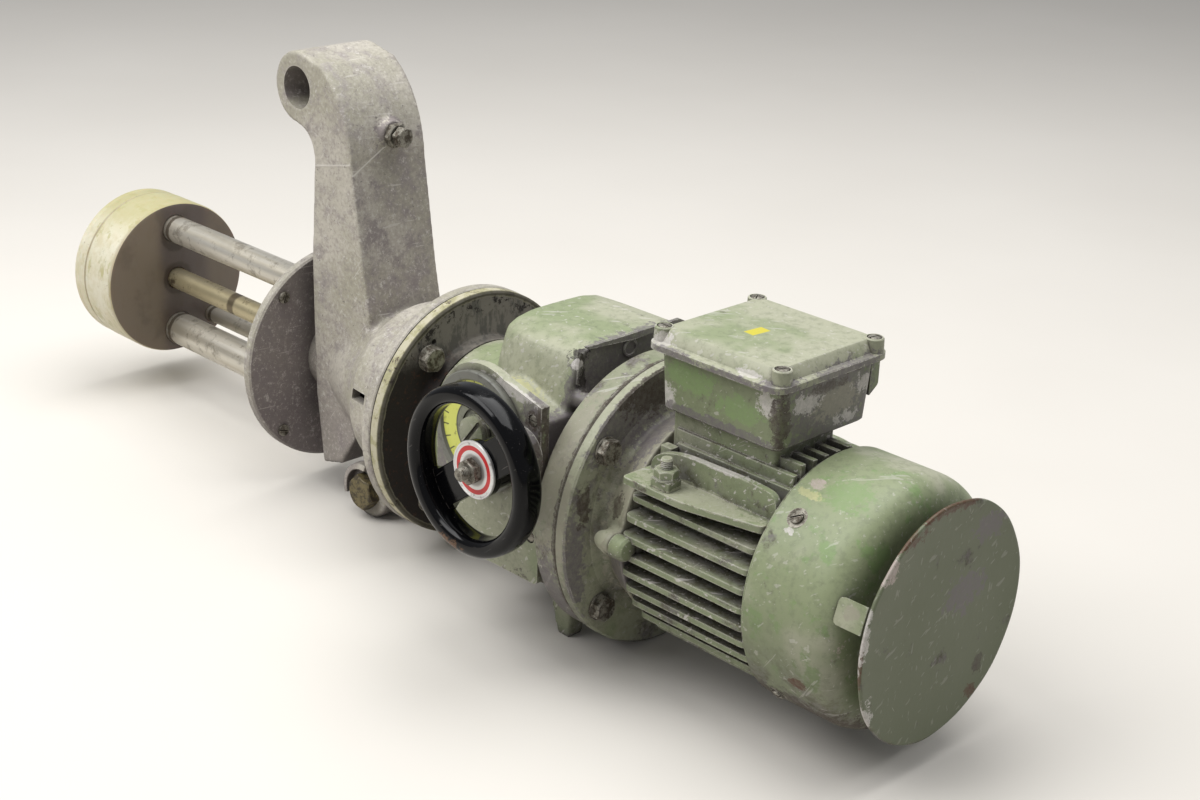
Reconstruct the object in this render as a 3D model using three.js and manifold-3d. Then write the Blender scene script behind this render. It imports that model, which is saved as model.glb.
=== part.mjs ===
// Paint pump: a pump head on tie rods, an aluminium bracket casting with a hanging arm,
// a variable-speed gearbox with a handwheel, and a flanged electric motor with a rain canopy.
// Millimetres, +Z up. Places along the drive line are stations: 0 at the fan cowl's open rim,
// plus towards the fan. Heights and sideways places are measured from the drive line, and the
// handwheel's side is -Y. The whole assembly is lifted onto the floor at the end.

import * as THREE from "three";
import { mergeVertices } from "three/addons/utils/BufferGeometryUtils.js";
import Module from "manifold-3d";

const wasm = await Module();
wasm.setup();

// Driving dimensions.
const fit = 0.3; // gap between pieces that rest on each other
const roundSides = 44; // sides of a large round
const rodSides = 20; // sides of a rod
const smallSides = 12; // sides of a small round
const driveLineHeight = 100.8; // drive line above the floor
const wheelSideReach = 148.8; // tip of the hand spindle, from the drive line
const farSideReach = 100.8; // flange rim on the far side

const head = { far: -791, joint: -772, near: -731, coverRadius: 66, bodyRadius: 66.3, edge: 3 };
const shaft = { radius: 9, from: -762, to: -392, running: 0.8 };
const rods = [
  { name: "tie_rod_upper", radius: 11.5, y: 0, z: 44.5 },
  { name: "discharge_tube", radius: 14, y: 0, z: -46 },
  { name: "tie_rod_rear", radius: 7, y: 34, z: -40 },
];
const rodSeat = 5; // depth of a rod's seat in the head and in the bracket

const plate = { from: -509, to: -501, radius: 85.7 };
const bell = {
  outside: [[-470, 35], [-458, 40], [-444, 45.5], [-428, 51], [-416, 56], [-408, 62], [-400, 68], [-382, 70]],
  wall: 8,
  innerStart: -448,
  innerStartRadius: 33,
};
const bellSlot = { x: [-398.5, -381.5], z: [9, 17] };
const bellFlange = { from: -353.5, to: -345, radius: 93.5, neck: [-366, 76] };
const arm = { halfWidth: 35, bossX: -502, bossZ: 216, bossRadius: 27, boreRadius: 16 };
const setScrew = { y: 4, z: 188, face: -437, pad: 11, shank: 5, depth: 24 };
const setScrewHead = { acrossFlats: 14, height: 6, gap: 2, nutAcrossFlats: 17, nut: 6 };
const port = { x: -415, z: -79, outer: 21.8, bore: 12.5, from: -40, to: 0, plugDepth: 18, hexHeight: 9 };

const outputFlange = { from: -344.7, to: -335, radius: 93, neckRadius: 60 };
const outputBolt = { circle: 72.5, angle: 40.5, acrossFlats: 17, head: 7, shank: 5, depth: 16 };
const gearbox = { from: -258, to: -180, top: 108, crown: 4, bottom: -71, halfWidthTop: 50, halfWidth: 62 };
const coverPlate = {
  left: -270, right: -168, bottom: -45, shoulder: 81, front: -93, back: -86, corner: 30, sharpCorner: 4,
};
const sideBoss = { drop: 17, right: -178 }; // the housing's boss stays below the cover plate's upper edge
const inputFlange = { from: -166, to: -145.3, radius: 99.8 };
const foot = { from: -187, to: -175, inner: 43, outer: 55, flare: 6, top: -55 };

const wheel = { x: -184.5, z: 45, outer: 57, inner: 44.5, front: -145.5, back: -126, hub: 17, hubBack: -110 };
const spoke = { width: 25, front: -133.3, back: -126, tilt: 37 };
const wheelDisc = { radius: 19.5, front: -135.6 };
const spindle = { radius: 6.5, running: 0.8, seat: 12, nut: 9, nutHeight: 6, tip: 4.5 };
const dial = { x: -224, z: 48, rim: 42, rimWidth: 7, front: -99, scale: -97, notch: 15, knob: 12 };

const motorFlange = { from: -144.7, to: -136, radius: 100.8, joint: -110 };
const motorBolt = { circle: 87, angle: 50, acrossFlats: 16, head: 6, shank: 5, depth: 16 };
const stator = { from: -109.7, to: -3, core: 63, fins: 78, pitch: 12.5, fin: 4.2, count: 9, firstFin: 34 };
const shelf = { z: 48, thick: 5, reach: 78, bend: -60, rearReach: 66 };
const tallFin = {
  y: 52, thick: 5, farDrop: 7,
  crest: [[-107, 57], [-98, 64], [-80, 68], [-25, 69], [-3, 67]],
};
const pad = { y: -9.5, from: -106, to: -20, halfWidth: 30.5 };
const padWall = { thick: 4, top: 76, ledge: 3, ledgeTop: 68 };
const topFins = { from: -101, top: 81.5, thick: 4, pitch: 11, count: 5 };
const post = { from: -104, length: 10, inner: 43, outer: 50, top: 66 };
const rearRing = { from: -3, to: 8, radius: 80.2 };
const lug = { angle: 88, circle: 80, radius: 8, front: -127, back: -98 };
const earthStud = { x: -80, y: -69, base: 12, baseHeight: 6, acrossFlats: 14, nut: 7, radius: 4, top: 20 };

const box = { x: -60.8, y: -3.2, length: 95, width: 85, bottom: 89, top: 130, wall: 4, flare: 2 };
const lid = { length: 110, width: 107, rim: 4.5, top: 143.5, corner: 9 };
const lidBody = { length: 102, width: 98, slope: 4 };
const lidScrew = { x: 48, y: 43.3, headRadius: 4.4, headTop: 144.3 };
const lidBoss = { radius: 6.2, top: 143.9, recess: 2.6 };
const cableChest = { length: 93, bottom: 104, shoulder: 110, out: 9 };

const cowl = { radius: 83, straight: 46, end: 68, rearRadius: 58, wall: 2.5 };
const canopy = { from: 84.5, to: 86.5, radius: 79, lip: 3 };
const strap = { angle: 71, width: 17, thick: 1.6, from: 62.6, startRadius: 77.2, endRadius: 77.3 };

// Materials.
const finish = (color, roughness, metalness) => (
  new THREE.MeshStandardMaterial({ color, roughness, metalness })
);
const greenPaint = () => finish(0x8d9c78, 0.5, 0.1);
const palePaint = () => finish(0xa9a892, 0.6, 0.1);
const castAluminium = () => finish(0xaba6a0, 0.6, 0.6);
const creamPaint = () => finish(0xb9b58b, 0.6, 0.1);
const brightSteel = () => finish(0xb9b6ae, 0.3, 0.9);
const dullSteel = () => finish(0x8a857a, 0.5, 0.8);
const ivoryPlastic = () => finish(0xc9c3a6, 0.5, 0);
const blackPlastic = () => finish(0x0e0e10, 0.15, 0);
const oliveBrass = () => finish(0x7d7345, 0.5, 0.6);
const silverDisc = () => finish(0xc8c8c8, 0.3, 0.5);
const dialYellow = () => finish(0xc3cc6a, 0.4, 0);

// Solids: closed meshes that can be joined and cut.
function solidOf(geometry) {
  const bare = geometry.clone();
  bare.deleteAttribute("normal");
  bare.deleteAttribute("uv");
  const merged = mergeVertices(bare, 1e-4);
  const vertProperties = new Float32Array(merged.attributes.position.array);
  const triVerts = new Uint32Array(merged.index.array);
  if (signedVolume(vertProperties, triVerts) < 0) {
    triVerts.reverse();
  }
  return new wasm.Manifold(new wasm.Mesh({ numProp: 3, vertProperties, triVerts }));
}

function signedVolume(points, triangles) {
  const corner = (index) => new THREE.Vector3().fromArray(points, 3 * index);
  let six = 0;
  for (let t = 0; t < triangles.length; t += 3) {
    six += corner(triangles[t]).dot(corner(triangles[t + 1]).cross(corner(triangles[t + 2])));
  }
  return six / 6;
}

function geometryOf(solid) {
  const mesh = solid.getMesh();
  const geometry = new THREE.BufferGeometry();
  geometry.setAttribute("position", new THREE.BufferAttribute(mesh.vertProperties, mesh.numProp));
  geometry.setIndex(new THREE.BufferAttribute(mesh.triVerts, 1));
  geometry.computeVertexNormals();
  return geometry;
}

const join = (...parts) => geometryOf(parts.map(solidOf).reduce((whole, next) => whole.add(next)));
const cut = (base, ...tools) => (
  geometryOf(tools.map(solidOf).reduce((rest, tool) => rest.subtract(tool), solidOf(base)))
);

// Shapes placed on the drive line's axes.
const middle = ([low, high]) => (low + high) / 2;
const span = ([low, high]) => high - low;

function block(x, y, z) {
  return new THREE.BoxGeometry(span(x), span(y), span(z)).translate(middle(x), middle(y), middle(z));
}

// A round about the drive line, from [station, radius] points that start and end on the axis or close.
function turned(profile, sides = roundSides) {
  const points = profile.map(([station, radius]) => new THREE.Vector2(radius, station));
  return new THREE.LatheGeometry(points, sides).rotateZ(-Math.PI / 2);
}

function disc(x, radius, sides = roundSides) {
  return turned([[x[0], 0], [x[0], radius], [x[1], radius], [x[1], 0]], sides);
}

const roundAlongX = (radius, x, y, z, sides = smallSides) => disc(x, radius, sides).translate(0, y, z);

function roundAlongY(radius, x, y, z, sides = smallSides) {
  return new THREE.CylinderGeometry(radius, radius, span(y), sides).translate(x, middle(y), z);
}

function roundAlongZ(radius, x, y, z, sides = smallSides) {
  return new THREE.CylinderGeometry(radius, radius, span(z), sides)
    .rotateX(Math.PI / 2)
    .translate(x, y, middle(z));
}

const hexAlongX = (acrossFlats, x, y, z) => roundAlongX(acrossFlats / Math.sqrt(3), x, y, z, 6);

// A plate across Y from an outline of (x, z) points.
function plateAcrossY(outline, y) {
  return new THREE.ExtrudeGeometry(outline, { depth: span(y), bevelEnabled: false, curveSegments: 6 })
    .rotateX(Math.PI / 2)
    .translate(0, y[1], 0);
}

// A plate across Z from an outline of (x, y) points.
function plateAcrossZ(outline, z) {
  return new THREE.ExtrudeGeometry(outline, { depth: span(z), bevelEnabled: false, curveSegments: 3 })
    .translate(0, 0, z[0]);
}

function roundedRectangle(u, v, radius) {
  const corners = [
    [u[1] - radius, v[1] - radius, 0],
    [u[0] + radius, v[1] - radius, Math.PI / 2],
    [u[0] + radius, v[0] + radius, Math.PI],
    [u[1] - radius, v[0] + radius, 1.5 * Math.PI],
  ];
  const outline = new THREE.Shape();
  corners.forEach(([cu, cv, start], index) => {
    if (index === 0) {
      outline.moveTo(cu + radius, cv);
    }
    outline.absarc(cu, cv, radius, start, start + Math.PI / 2, false);
  });
  outline.closePath();
  return outline;
}

// A block whose top face is set in or out from its bottom face.
function taperedBlock(bottomX, bottomY, topX, topY, z) {
  const geometry = block(bottomX, bottomY, z);
  const points = geometry.attributes.position;
  for (let i = 0; i < points.count; i += 1) {
    if (points.getZ(i) > middle(z)) {
      points.setX(i, points.getX(i) > middle(bottomX) ? topX[1] : topX[0]);
      points.setY(i, points.getY(i) > middle(bottomY) ? topY[1] : topY[0]);
    }
  }
  return geometry;
}

const around = (centre, half) => [centre - half, centre + half];
const outlineOf = (points) => new THREE.Shape(points.map(([u, v]) => new THREE.Vector2(u, v)));

// Sideways place and height at an angle from the top, turning towards the handwheel's side.
function onCircle(radius, degrees) {
  const angle = THREE.MathUtils.degToRad(degrees);
  return [-radius * Math.sin(angle), radius * Math.cos(angle)];
}

const assembly = new THREE.Group();

function addPiece(name, geometry, material) {
  const mesh = new THREE.Mesh(geometryOf(solidOf(geometry)), material);
  mesh.name = name;
  assembly.add(mesh);
}

// Pump head: an ivory plastic cylinder with a cover at its far end.
function headCover() {
  const { far, joint, coverRadius, edge } = head;
  return turned([
    [far, 0],
    [far, coverRadius - edge],
    [far + edge, coverRadius],
    [joint - fit, coverRadius],
    [joint - fit, 0],
  ]);
}

function headBody() {
  const { joint, near, bodyRadius, edge } = head;
  const body = turned([
    [joint, 0], [joint, bodyRadius], [near - edge, bodyRadius], [near, bodyRadius - edge], [near, 0],
  ]);
  const seats = rods.map((rod) => (
    roundAlongX(rod.radius + fit, [near - rodSeat - fit, near + 1], rod.y, rod.z, rodSides)
  ));
  const bore = disc([shaft.from - 1, near + 1], shaft.radius + shaft.running, rodSides);
  return cut(body, bore, ...seats);
}

// Bracket casting: rod plate, web with the hanging arm, hollow bell and its flange, outlet boss.
function armOutline() {
  const { bossX, bossZ, bossRadius } = arm;
  const outline = new THREE.Shape();
  outline.moveTo(-478, -78);
  outline.lineTo(-455, -72);
  outline.lineTo(-430, -36);
  outline.lineTo(-415, 43);
  outline.lineTo(-424, 86);
  outline.lineTo(-437, 165);
  outline.quadraticCurveTo(-440, 214, -474, 237);
  outline.lineTo(bossX + 6, bossZ + bossRadius - 0.7);
  outline.absarc(bossX, bossZ, bossRadius, Math.PI / 2, 1.46 * Math.PI, false);
  outline.quadraticCurveTo(-484, 186, -483, 165);
  outline.lineTo(-488, 84);
  outline.lineTo(-486, -20);
  outline.closePath();
  return outline;
}

function bracketCasting() {
  const innerCurve = bell.outside
    .filter(([station]) => station > bell.innerStart)
    .map(([station, radius]) => [station, radius - bell.wall]);
  const mouthRadius = innerCurve.at(-1)[1];
  const outside = turned([
    [plate.to - 1, 0],
    [plate.to - 1, 30],
    ...bell.outside,
    bellFlange.neck,
    [bellFlange.from, bellFlange.radius],
    [bellFlange.to, bellFlange.radius],
    [bellFlange.to, 0],
  ]);
  const inside = turned([
    [bell.innerStart, 0],
    [bell.innerStart, bell.innerStartRadius],
    ...innerCurve,
    [bellFlange.to + 1, mouthRadius],
    [bellFlange.to + 1, 0],
  ]);
  const web = plateAcrossY(armOutline(), [-arm.halfWidth, arm.halfWidth]);
  const screw = [setScrew.y, setScrew.z];
  const screwPad = roundAlongX(setScrew.pad, [setScrew.face - 12, setScrew.face], ...screw, rodSides);
  const outletBoss = roundAlongY(port.outer, port.x, [port.from, port.to], port.z, rodSides);
  const seats = rods.map((rod) => (
    roundAlongX(rod.radius + fit, [plate.from - 1, plate.from + rodSeat], rod.y, rod.z, rodSides)
  ));
  const shaftBore = disc([plate.from - 1, bell.innerStart + 1], shaft.radius + shaft.running, rodSides);
  const bossBore = roundAlongY(arm.boreRadius, arm.bossX, around(0, arm.halfWidth + 1), arm.bossZ, 32);
  const screwReach = [setScrew.face - setScrew.depth, setScrew.face + 20];
  const screwHole = roundAlongX(setScrew.shank + fit, screwReach, ...screw);
  const plugEnd = port.from + port.plugDepth + fit;
  const portBore = roundAlongY(port.bore + fit, port.x, [port.from - 1, plugEnd], port.z, rodSides);
  const slot = block(bellSlot.x, [-90, -50], bellSlot.z);
  const boltSeats = boltPlaces(outputBolt).map(([y, z]) => (
    roundAlongX(outputBolt.shank + fit, [-351.5, -344], y, z)
  ));
  return cut(
    join(disc([plate.from, plate.to], plate.radius), web, outside, screwPad, outletBoss),
    inside, shaftBore, bossBore, screwHole, portBore, slot, ...seats, ...boltSeats,
  );
}

function setScrewPiece() {
  const { y, z, face, shank, depth } = setScrew;
  const { acrossFlats, height, gap, nut } = setScrewHead;
  const start = face + nut + gap;
  return join(
    roundAlongX(shank, [face - depth + 1, start + 1], y, z),
    hexAlongX(acrossFlats, [start, start + height], y, z),
  );
}

function lockNut() {
  const { y, z, face, shank } = setScrew;
  const { nutAcrossFlats, nut } = setScrewHead;
  return cut(
    hexAlongX(nutAcrossFlats, [face + fit, face + nut], y, z),
    roundAlongX(shank + fit, [face - 1, face + nut + 1], y, z),
  );
}

function portPlug() {
  const front = port.from - fit;
  return join(
    roundAlongY(port.bore, port.x, [port.from - 1, port.from + port.plugDepth], port.z, rodSides),
    roundAlongY(port.bore + 2, port.x, [front - port.hexHeight, front], port.z, 6),
  );
}

// Four hex bolts on each flanged joint, at one angle from the top and from the bottom.
const boltPlaces = ({ circle, angle }) => (
  [angle, 180 - angle, 180 + angle, -angle].map((degrees) => onCircle(circle, degrees))
);

function flangeBolt(bolt, face, [y, z]) {
  return join(
    roundAlongX(bolt.acrossFlats * 0.56, [face + fit, face + 1.5], y, z),
    hexAlongX(bolt.acrossFlats, [face + 1, face + bolt.head + 1.5], y, z),
    roundAlongX(bolt.shank, [face - bolt.depth, face + 1], y, z),
  );
}

// Gearbox: output flange and neck, green housing with top box, input flange and feet.
function gearboxFlange() {
  const { from, to, radius, neckRadius } = outputFlange;
  const body = turned([
    [from, 0], [from, radius], [to, radius], [to, neckRadius], [to + 12, neckRadius], [to + 12, 0],
  ]);
  const holes = boltPlaces(outputBolt).map(([y, z]) => (
    roundAlongX(outputBolt.shank + fit, [from - 1, to + 1], y, z)
  ));
  return cut(body, ...holes);
}

function gearboxHousing() {
  const { from, to, top, crown, bottom, halfWidthTop, halfWidth } = gearbox;
  const neckStart = outputFlange.to + 12 + fit;
  const barrel = turned([
    [neckStart, 0],
    [neckStart, outputFlange.neckRadius],
    [from + 6, 70],
    [to, 70],
    [inputFlange.from, 80],
    [inputFlange.from, inputFlange.radius],
    [inputFlange.to, inputFlange.radius],
    [inputFlange.to, 0],
  ]);
  const topSides = around(0, halfWidthTop);
  const upper = taperedBlock([from, to], around(0, halfWidth), [from + 3, to], topSides, [0, top - crown]);
  const crownBlock = taperedBlock(
    [from + 3, to], topSides, [from + 14, to - 5], around(0, halfWidthTop - 12), [top - crown - 0.01, top],
  );
  const lower = taperedBlock(
    [from + 2, to + 4], around(0, 54), [from - 2, to + 6], around(0, halfWidth), [bottom, 1],
  );
  const boss = plateAcrossY(coverOutline(sideBoss.drop, sideBoss.right), [coverPlate.back + fit, -30]);
  const feet = [-1, 1].map((side) => {
    const y = side < 0 ? [-foot.outer, -foot.inner] : [foot.inner, foot.outer];
    const topY = [y[0] - foot.flare, y[1] + foot.flare];
    const topX = [foot.from - foot.flare, foot.to + foot.flare];
    return taperedBlock([foot.from, foot.to], y, topX, topY, [-driveLineHeight, foot.top]);
  });
  const holes = boltPlaces(motorBolt).map(([y, z]) => roundAlongX(motorBolt.shank + fit, [-153, -144], y, z));
  return cut(join(barrel, upper, crownBlock, lower, boss, ...feet), ...holes);
}

// Round over the dial, then sloping down to a shoulder at the motor's end.
function coverOutline(drop = 0, right = coverPlate.right) {
  const { left, bottom, shoulder, corner, sharpCorner } = coverPlate;
  const outline = new THREE.Shape();
  outline.absarc(right - sharpCorner, bottom + sharpCorner, sharpCorner, 1.5 * Math.PI, 2 * Math.PI, false);
  outline.lineTo(right, shoulder - drop);
  outline.absarc(dial.x, dial.z, dial.x - left - drop, 0.36 * Math.PI, Math.PI, false);
  outline.absarc(left + drop + corner, bottom + corner, corner, Math.PI, 1.5 * Math.PI, false);
  outline.closePath();
  return outline;
}

function gearboxCover() {
  const { front, back } = coverPlate;
  const cover = plateAcrossY(coverOutline(), [front, back]);
  const hub = roundAlongY(17, wheel.x, [front - 7, front + 1], wheel.z, rodSides);
  const boreRadius = spindle.radius + spindle.running;
  const bore = roundAlongY(boreRadius, wheel.x, [front - 8, front - 7 + spindle.seat], wheel.z, rodSides);
  return cut(join(cover, hub), bore);
}

function speedDial() {
  const { x, z, rim, rimWidth, front, scale, notch } = dial;
  const back = coverPlate.front - fit;
  return cut(
    roundAlongY(rim, x, [front, back], z, 36),
    roundAlongY(rim - rimWidth, x, [front - 1, scale], z, 36),
    roundAlongY(notch + 5, wheel.x, [front - 1, back + 1], wheel.z, rodSides),
  );
}

const dialKnob = () => roundAlongY(dial.knob, dial.x, [dial.scale - 7, dial.scale - fit], dial.z, rodSides);

// Handwheel: a deep round rim, two broad spokes and a hub on the spindle.
function rimProfile() {
  const { outer, inner, front, back } = wheel;
  const round = 6;
  return [
    [inner, back],
    [inner, front + round],
    [inner + round, front],
    [outer - round, front],
    [outer - 1.5, front + 2],
    [outer, front + round],
    [outer, back - 4],
    [outer - 4, back],
    [inner, back],
  ];
}

function handwheel() {
  const points = rimProfile().map(([radius, y]) => new THREE.Vector2(radius, y));
  const rim = new THREE.LatheGeometry(points, roundSides).translate(wheel.x, 0, wheel.z);
  const reach = wheel.inner + 4;
  const spokes = block(around(0, reach), [spoke.front, spoke.back], around(0, spoke.width / 2))
    .rotateY(THREE.MathUtils.degToRad(-spoke.tilt))
    .translate(wheel.x, 0, wheel.z);
  const hub = roundAlongY(wheel.hub, wheel.x, [spoke.front, wheel.hubBack], wheel.z, rodSides);
  const boreReach = [spoke.front - 1, wheel.hubBack + 1];
  const bore = roundAlongY(spindle.radius + fit, wheel.x, boreReach, wheel.z, rodSides);
  return cut(join(rim, spokes, hub), bore);
}

function handwheelDisc() {
  return cut(
    roundAlongY(wheelDisc.radius, wheel.x, [wheelDisc.front, spoke.front - fit], wheel.z, 32),
    roundAlongY(spindle.radius + fit, wheel.x, [wheelDisc.front - 1, spoke.front + 1], wheel.z, rodSides),
  );
}

function handSpindle() {
  const seatEnd = coverPlate.front - 7 + spindle.seat - 1;
  const nutBack = wheelDisc.front - fit;
  const nutFront = nutBack - spindle.nutHeight;
  return join(
    roundAlongY(spindle.radius, wheel.x, [nutBack - 1, seatEnd], wheel.z, rodSides),
    roundAlongY(spindle.nut, wheel.x, [nutFront, nutBack], wheel.z, 6),
    roundAlongY(spindle.tip, wheel.x, [-wheelSideReach, nutFront + 1], wheel.z, smallSides),
  );
}

// Motor: end shield with flange, finned stator housing, fan cowl.
const lugPlaces = () => [0, 90, 180, 270].map((turn) => onCircle(lug.circle, lug.angle + turn));

function motorEndShield() {
  const { from, to, radius, joint } = motorFlange;
  const body = turned([
    [from, 0], [from, radius], [to, radius], [to, 67], [joint - 6, 73], [joint, 75], [joint, 0],
  ]);
  const lugs = lugPlaces().map(([y, z]) => roundAlongX(lug.radius, [lug.front, joint], y, z));
  const holes = boltPlaces(motorBolt).map(([y, z]) => (
    roundAlongX(motorBolt.shank + fit, [from - 1, to + 1], y, z)
  ));
  return cut(join(body, ...lugs), ...holes);
}

function statorHousing() {
  const { from, to, core, fins, pitch, fin, count, firstFin } = stator;
  const x = [from, to];
  const solids = [disc([from, to + 1], core), disc([rearRing.from - 0.5, rearRing.to], rearRing.radius)];
  for (let i = 0; i < count; i += 1) {
    const z = firstFin - i * pitch;
    const reach = Math.sqrt(fins * fins - z * z);
    solids.push(block(x, around(0, reach), around(z, fin / 2)));
  }
  solids.push(plateAcrossZ(shelfOutline(), around(shelf.z, shelf.thick / 2)));
  for (const side of [-1, 1]) {
    const drop = side < 0 ? 0 : tallFin.farDrop;
    solids.push(plateAcrossY(tallFinOutline(drop), around(side * tallFin.y, tallFin.thick / 2)));
    const postY = side < 0 ? [-post.outer, -post.inner] : [post.inner, post.outer];
    solids.push(block([post.from, post.from + post.length], postY, [shelf.z, post.top]));
  }
  for (let i = 0; i < topFins.count; i += 1) {
    const y = pad.y + (i - (topFins.count - 1) / 2) * topFins.pitch;
    solids.push(block([topFins.from, to], around(y, topFins.thick / 2), [40, topFins.top]));
  }
  solids.push(...terminalPad());
  lugPlaces().forEach(([y, z]) => {
    solids.push(roundAlongX(lug.radius, [from, lug.back], y, z));
    solids.push(roundAlongX(lug.radius, [from, lug.back], 0.82 * y, 0.82 * z));
  });
  return join(...solids);
}

function shelfOutline() {
  const { from, to } = stator;
  const { reach, bend, rearReach } = shelf;
  return outlineOf([
    [from, -reach], [bend, -reach], [to, -rearReach], [to, rearReach], [bend, reach], [from, reach],
  ]);
}

function tallFinOutline(drop) {
  const crest = tallFin.crest.map(([station, z]) => [station, z - drop]);
  return outlineOf([[crest[0][0], shelf.z - 2], ...crest, [stator.to, shelf.z - 2]]);
}

// The pad under the terminal box, between two long walls with a ledge each.
function terminalPad() {
  const { y, from, to, halfWidth } = pad;
  const { thick, top, ledge, ledgeTop } = padWall;
  const base = [shelf.z - 4, box.bottom - fit];
  const walls = [-1, 1].flatMap((side) => [
    block([from + 6, stator.to], around(y + side * (halfWidth - thick / 2), thick / 2), [base[0], top]),
    block([from + 10, stator.to], around(y + side * halfWidth, ledge), [base[0], ledgeTop]),
  ]);
  return [block([from, to], around(y, halfWidth - 2), base), ...walls];
}

function earthStudPiece() {
  const { x, y, base, baseHeight, acrossFlats, nut, radius, top } = earthStud;
  const floor = shelf.z + shelf.thick / 2 + fit;
  return join(
    block(around(x, base / 2 + 2), around(y, base / 2), [floor, floor + baseHeight]),
    roundAlongZ(acrossFlats / Math.sqrt(3), x, y, [floor + baseHeight - 1, floor + baseHeight + nut], 6),
    roundAlongZ(radius, x, y, [floor + baseHeight, floor + top]),
  );
}

// Terminal box on the motor, with its lid and four screws.
function terminalBox() {
  const { x, y, length, width, bottom, top, wall, flare } = box;
  const halfX = length / 2;
  const halfY = width / 2;
  const outside = taperedBlock(
    around(x, halfX), around(y, halfY), around(x, halfX + flare), around(y, halfY + flare), [bottom, top],
  );
  const inside = taperedBlock(
    around(x, halfX - wall), around(y, halfY - wall),
    around(x, halfX + flare - wall), around(y, halfY + flare - wall), [bottom + wall, top + 1],
  );
  return cut(outside, inside);
}

function terminalLid() {
  const { length, width, rim, top, corner } = lid;
  const { radius: bossRadius, top: bossTop, recess } = lidBoss;
  const base = box.top + fit;
  const rimOutline = roundedRectangle(around(box.x, length / 2), around(box.y, width / 2), corner);
  const body = taperedBlock(
    around(box.x, lidBody.length / 2),
    around(box.y, lidBody.width / 2),
    around(box.x, lidBody.length / 2 - lidBody.slope),
    around(box.y, lidBody.width / 2 - lidBody.slope),
    [base + rim - 0.5, top],
  );
  const bosses = lidScrewPlaces().map(([x, y]) => roundAlongZ(bossRadius, x, y, [base + 1, bossTop], 16));
  const recesses = lidScrewPlaces().map(([x, y]) => (
    roundAlongZ(lidScrew.headRadius + fit, x, y, [bossTop - recess, bossTop + 1])
  ));
  return cut(join(plateAcrossZ(rimOutline, [base, base + rim]), body, ...bosses), ...recesses);
}

const lidScrewPlaces = () => [[-1, -1], [1, -1], [1, 1], [-1, 1]].map(([sx, sy]) => [
  box.x + sx * lidScrew.x,
  box.y + sy * lidScrew.y,
]);

function lidScrewPiece([x, y]) {
  const { headRadius, headTop } = lidScrew;
  return cut(
    roundAlongZ(headRadius, x, y, [lidBoss.top - lidBoss.recess + fit, headTop]),
    block(around(x, headRadius + 1), around(y, 0.7), [headTop - 1.2, headTop + 1]),
  );
}

function cableEntry() {
  const { length, bottom, shoulder, out } = cableChest;
  const x = around(box.x, length / 2);
  const wallFace = box.y + box.width / 2 + box.flare + fit;
  const slant = taperedBlock(x, [wallFace, wallFace + 1], x, [wallFace, wallFace + out], [bottom, shoulder]);
  return join(slant, block(x, [wallFace, wallFace + out], [shoulder - 0.01, box.top]));
}

// Fan cowl: a pressed cup with a rounded rear edge.
function fanCowl() {
  const { radius, straight, end, rearRadius, wall } = cowl;
  const shell = (inset, start) => {
    const curve = new THREE.QuadraticBezierCurve(
      new THREE.Vector2(straight, radius - inset),
      new THREE.Vector2(end - inset, radius - inset),
      new THREE.Vector2(end - inset, rearRadius),
    );
    const bend = curve.getPoints(inset > 0 ? 3 : 5).map((point) => [point.x, point.y]);
    return turned([[start, 0], [start, radius - inset], ...bend, [end - inset, 0]]);
  };
  return cut(shell(0, 0), shell(wall, -1));
}

const strapTurns = [strap.angle, strap.angle + 180].map((degrees) => THREE.MathUtils.degToRad(degrees));

function rainCanopy() {
  const { from, to, radius, lip } = canopy;
  return turned([
    [from, 0], [from, radius - 2], [to - lip, radius - 2], [to - lip, radius], [to, radius], [to, 0],
  ]);
}

// A strip from the cowl's rear edge to the back of the canopy's lip.
function canopyStrap(turn) {
  const { width, thick, from, startRadius, endRadius } = strap;
  const end = canopy.to - canopy.lip - fit;
  const outline = outlineOf([
    [from, startRadius], [end, endRadius], [end, endRadius + thick], [from, startRadius + thick],
  ]);
  return plateAcrossY(outline, around(0, width / 2)).rotateX(turn);
}

// Assembly, from the pump head to the canopy.
addPiece("head_cover", headCover(), ivoryPlastic());
addPiece("head_body", headBody(), ivoryPlastic());
rods.forEach(({ name, radius, y, z }) => {
  const reach = [head.near - rodSeat, plate.from + rodSeat - fit];
  addPiece(name, roundAlongX(radius, reach, y, z, rodSides), brightSteel());
});
addPiece("drive_shaft", disc([shaft.from, shaft.to], shaft.radius, rodSides), brightSteel());
addPiece("bracket_casting", bracketCasting(), castAluminium());
addPiece("set_screw", setScrewPiece(), dullSteel());
addPiece("lock_nut", lockNut(), dullSteel());
addPiece("port_plug", portPlug(), oliveBrass());

addPiece("gearbox_flange", gearboxFlange(), creamPaint());
boltPlaces(outputBolt).forEach((place, index) => {
  addPiece(`flange_bolt_${index + 1}`, flangeBolt(outputBolt, outputFlange.to, place), dullSteel());
});
addPiece("gearbox_housing", gearboxHousing(), greenPaint());
addPiece("gearbox_cover", gearboxCover(), greenPaint());
addPiece("speed_dial", speedDial(), dialYellow());
addPiece("dial_knob", dialKnob(), palePaint());
addPiece("handwheel", handwheel(), blackPlastic());
addPiece("handwheel_disc", handwheelDisc(), silverDisc());
addPiece("hand_spindle", handSpindle(), brightSteel());

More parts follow.
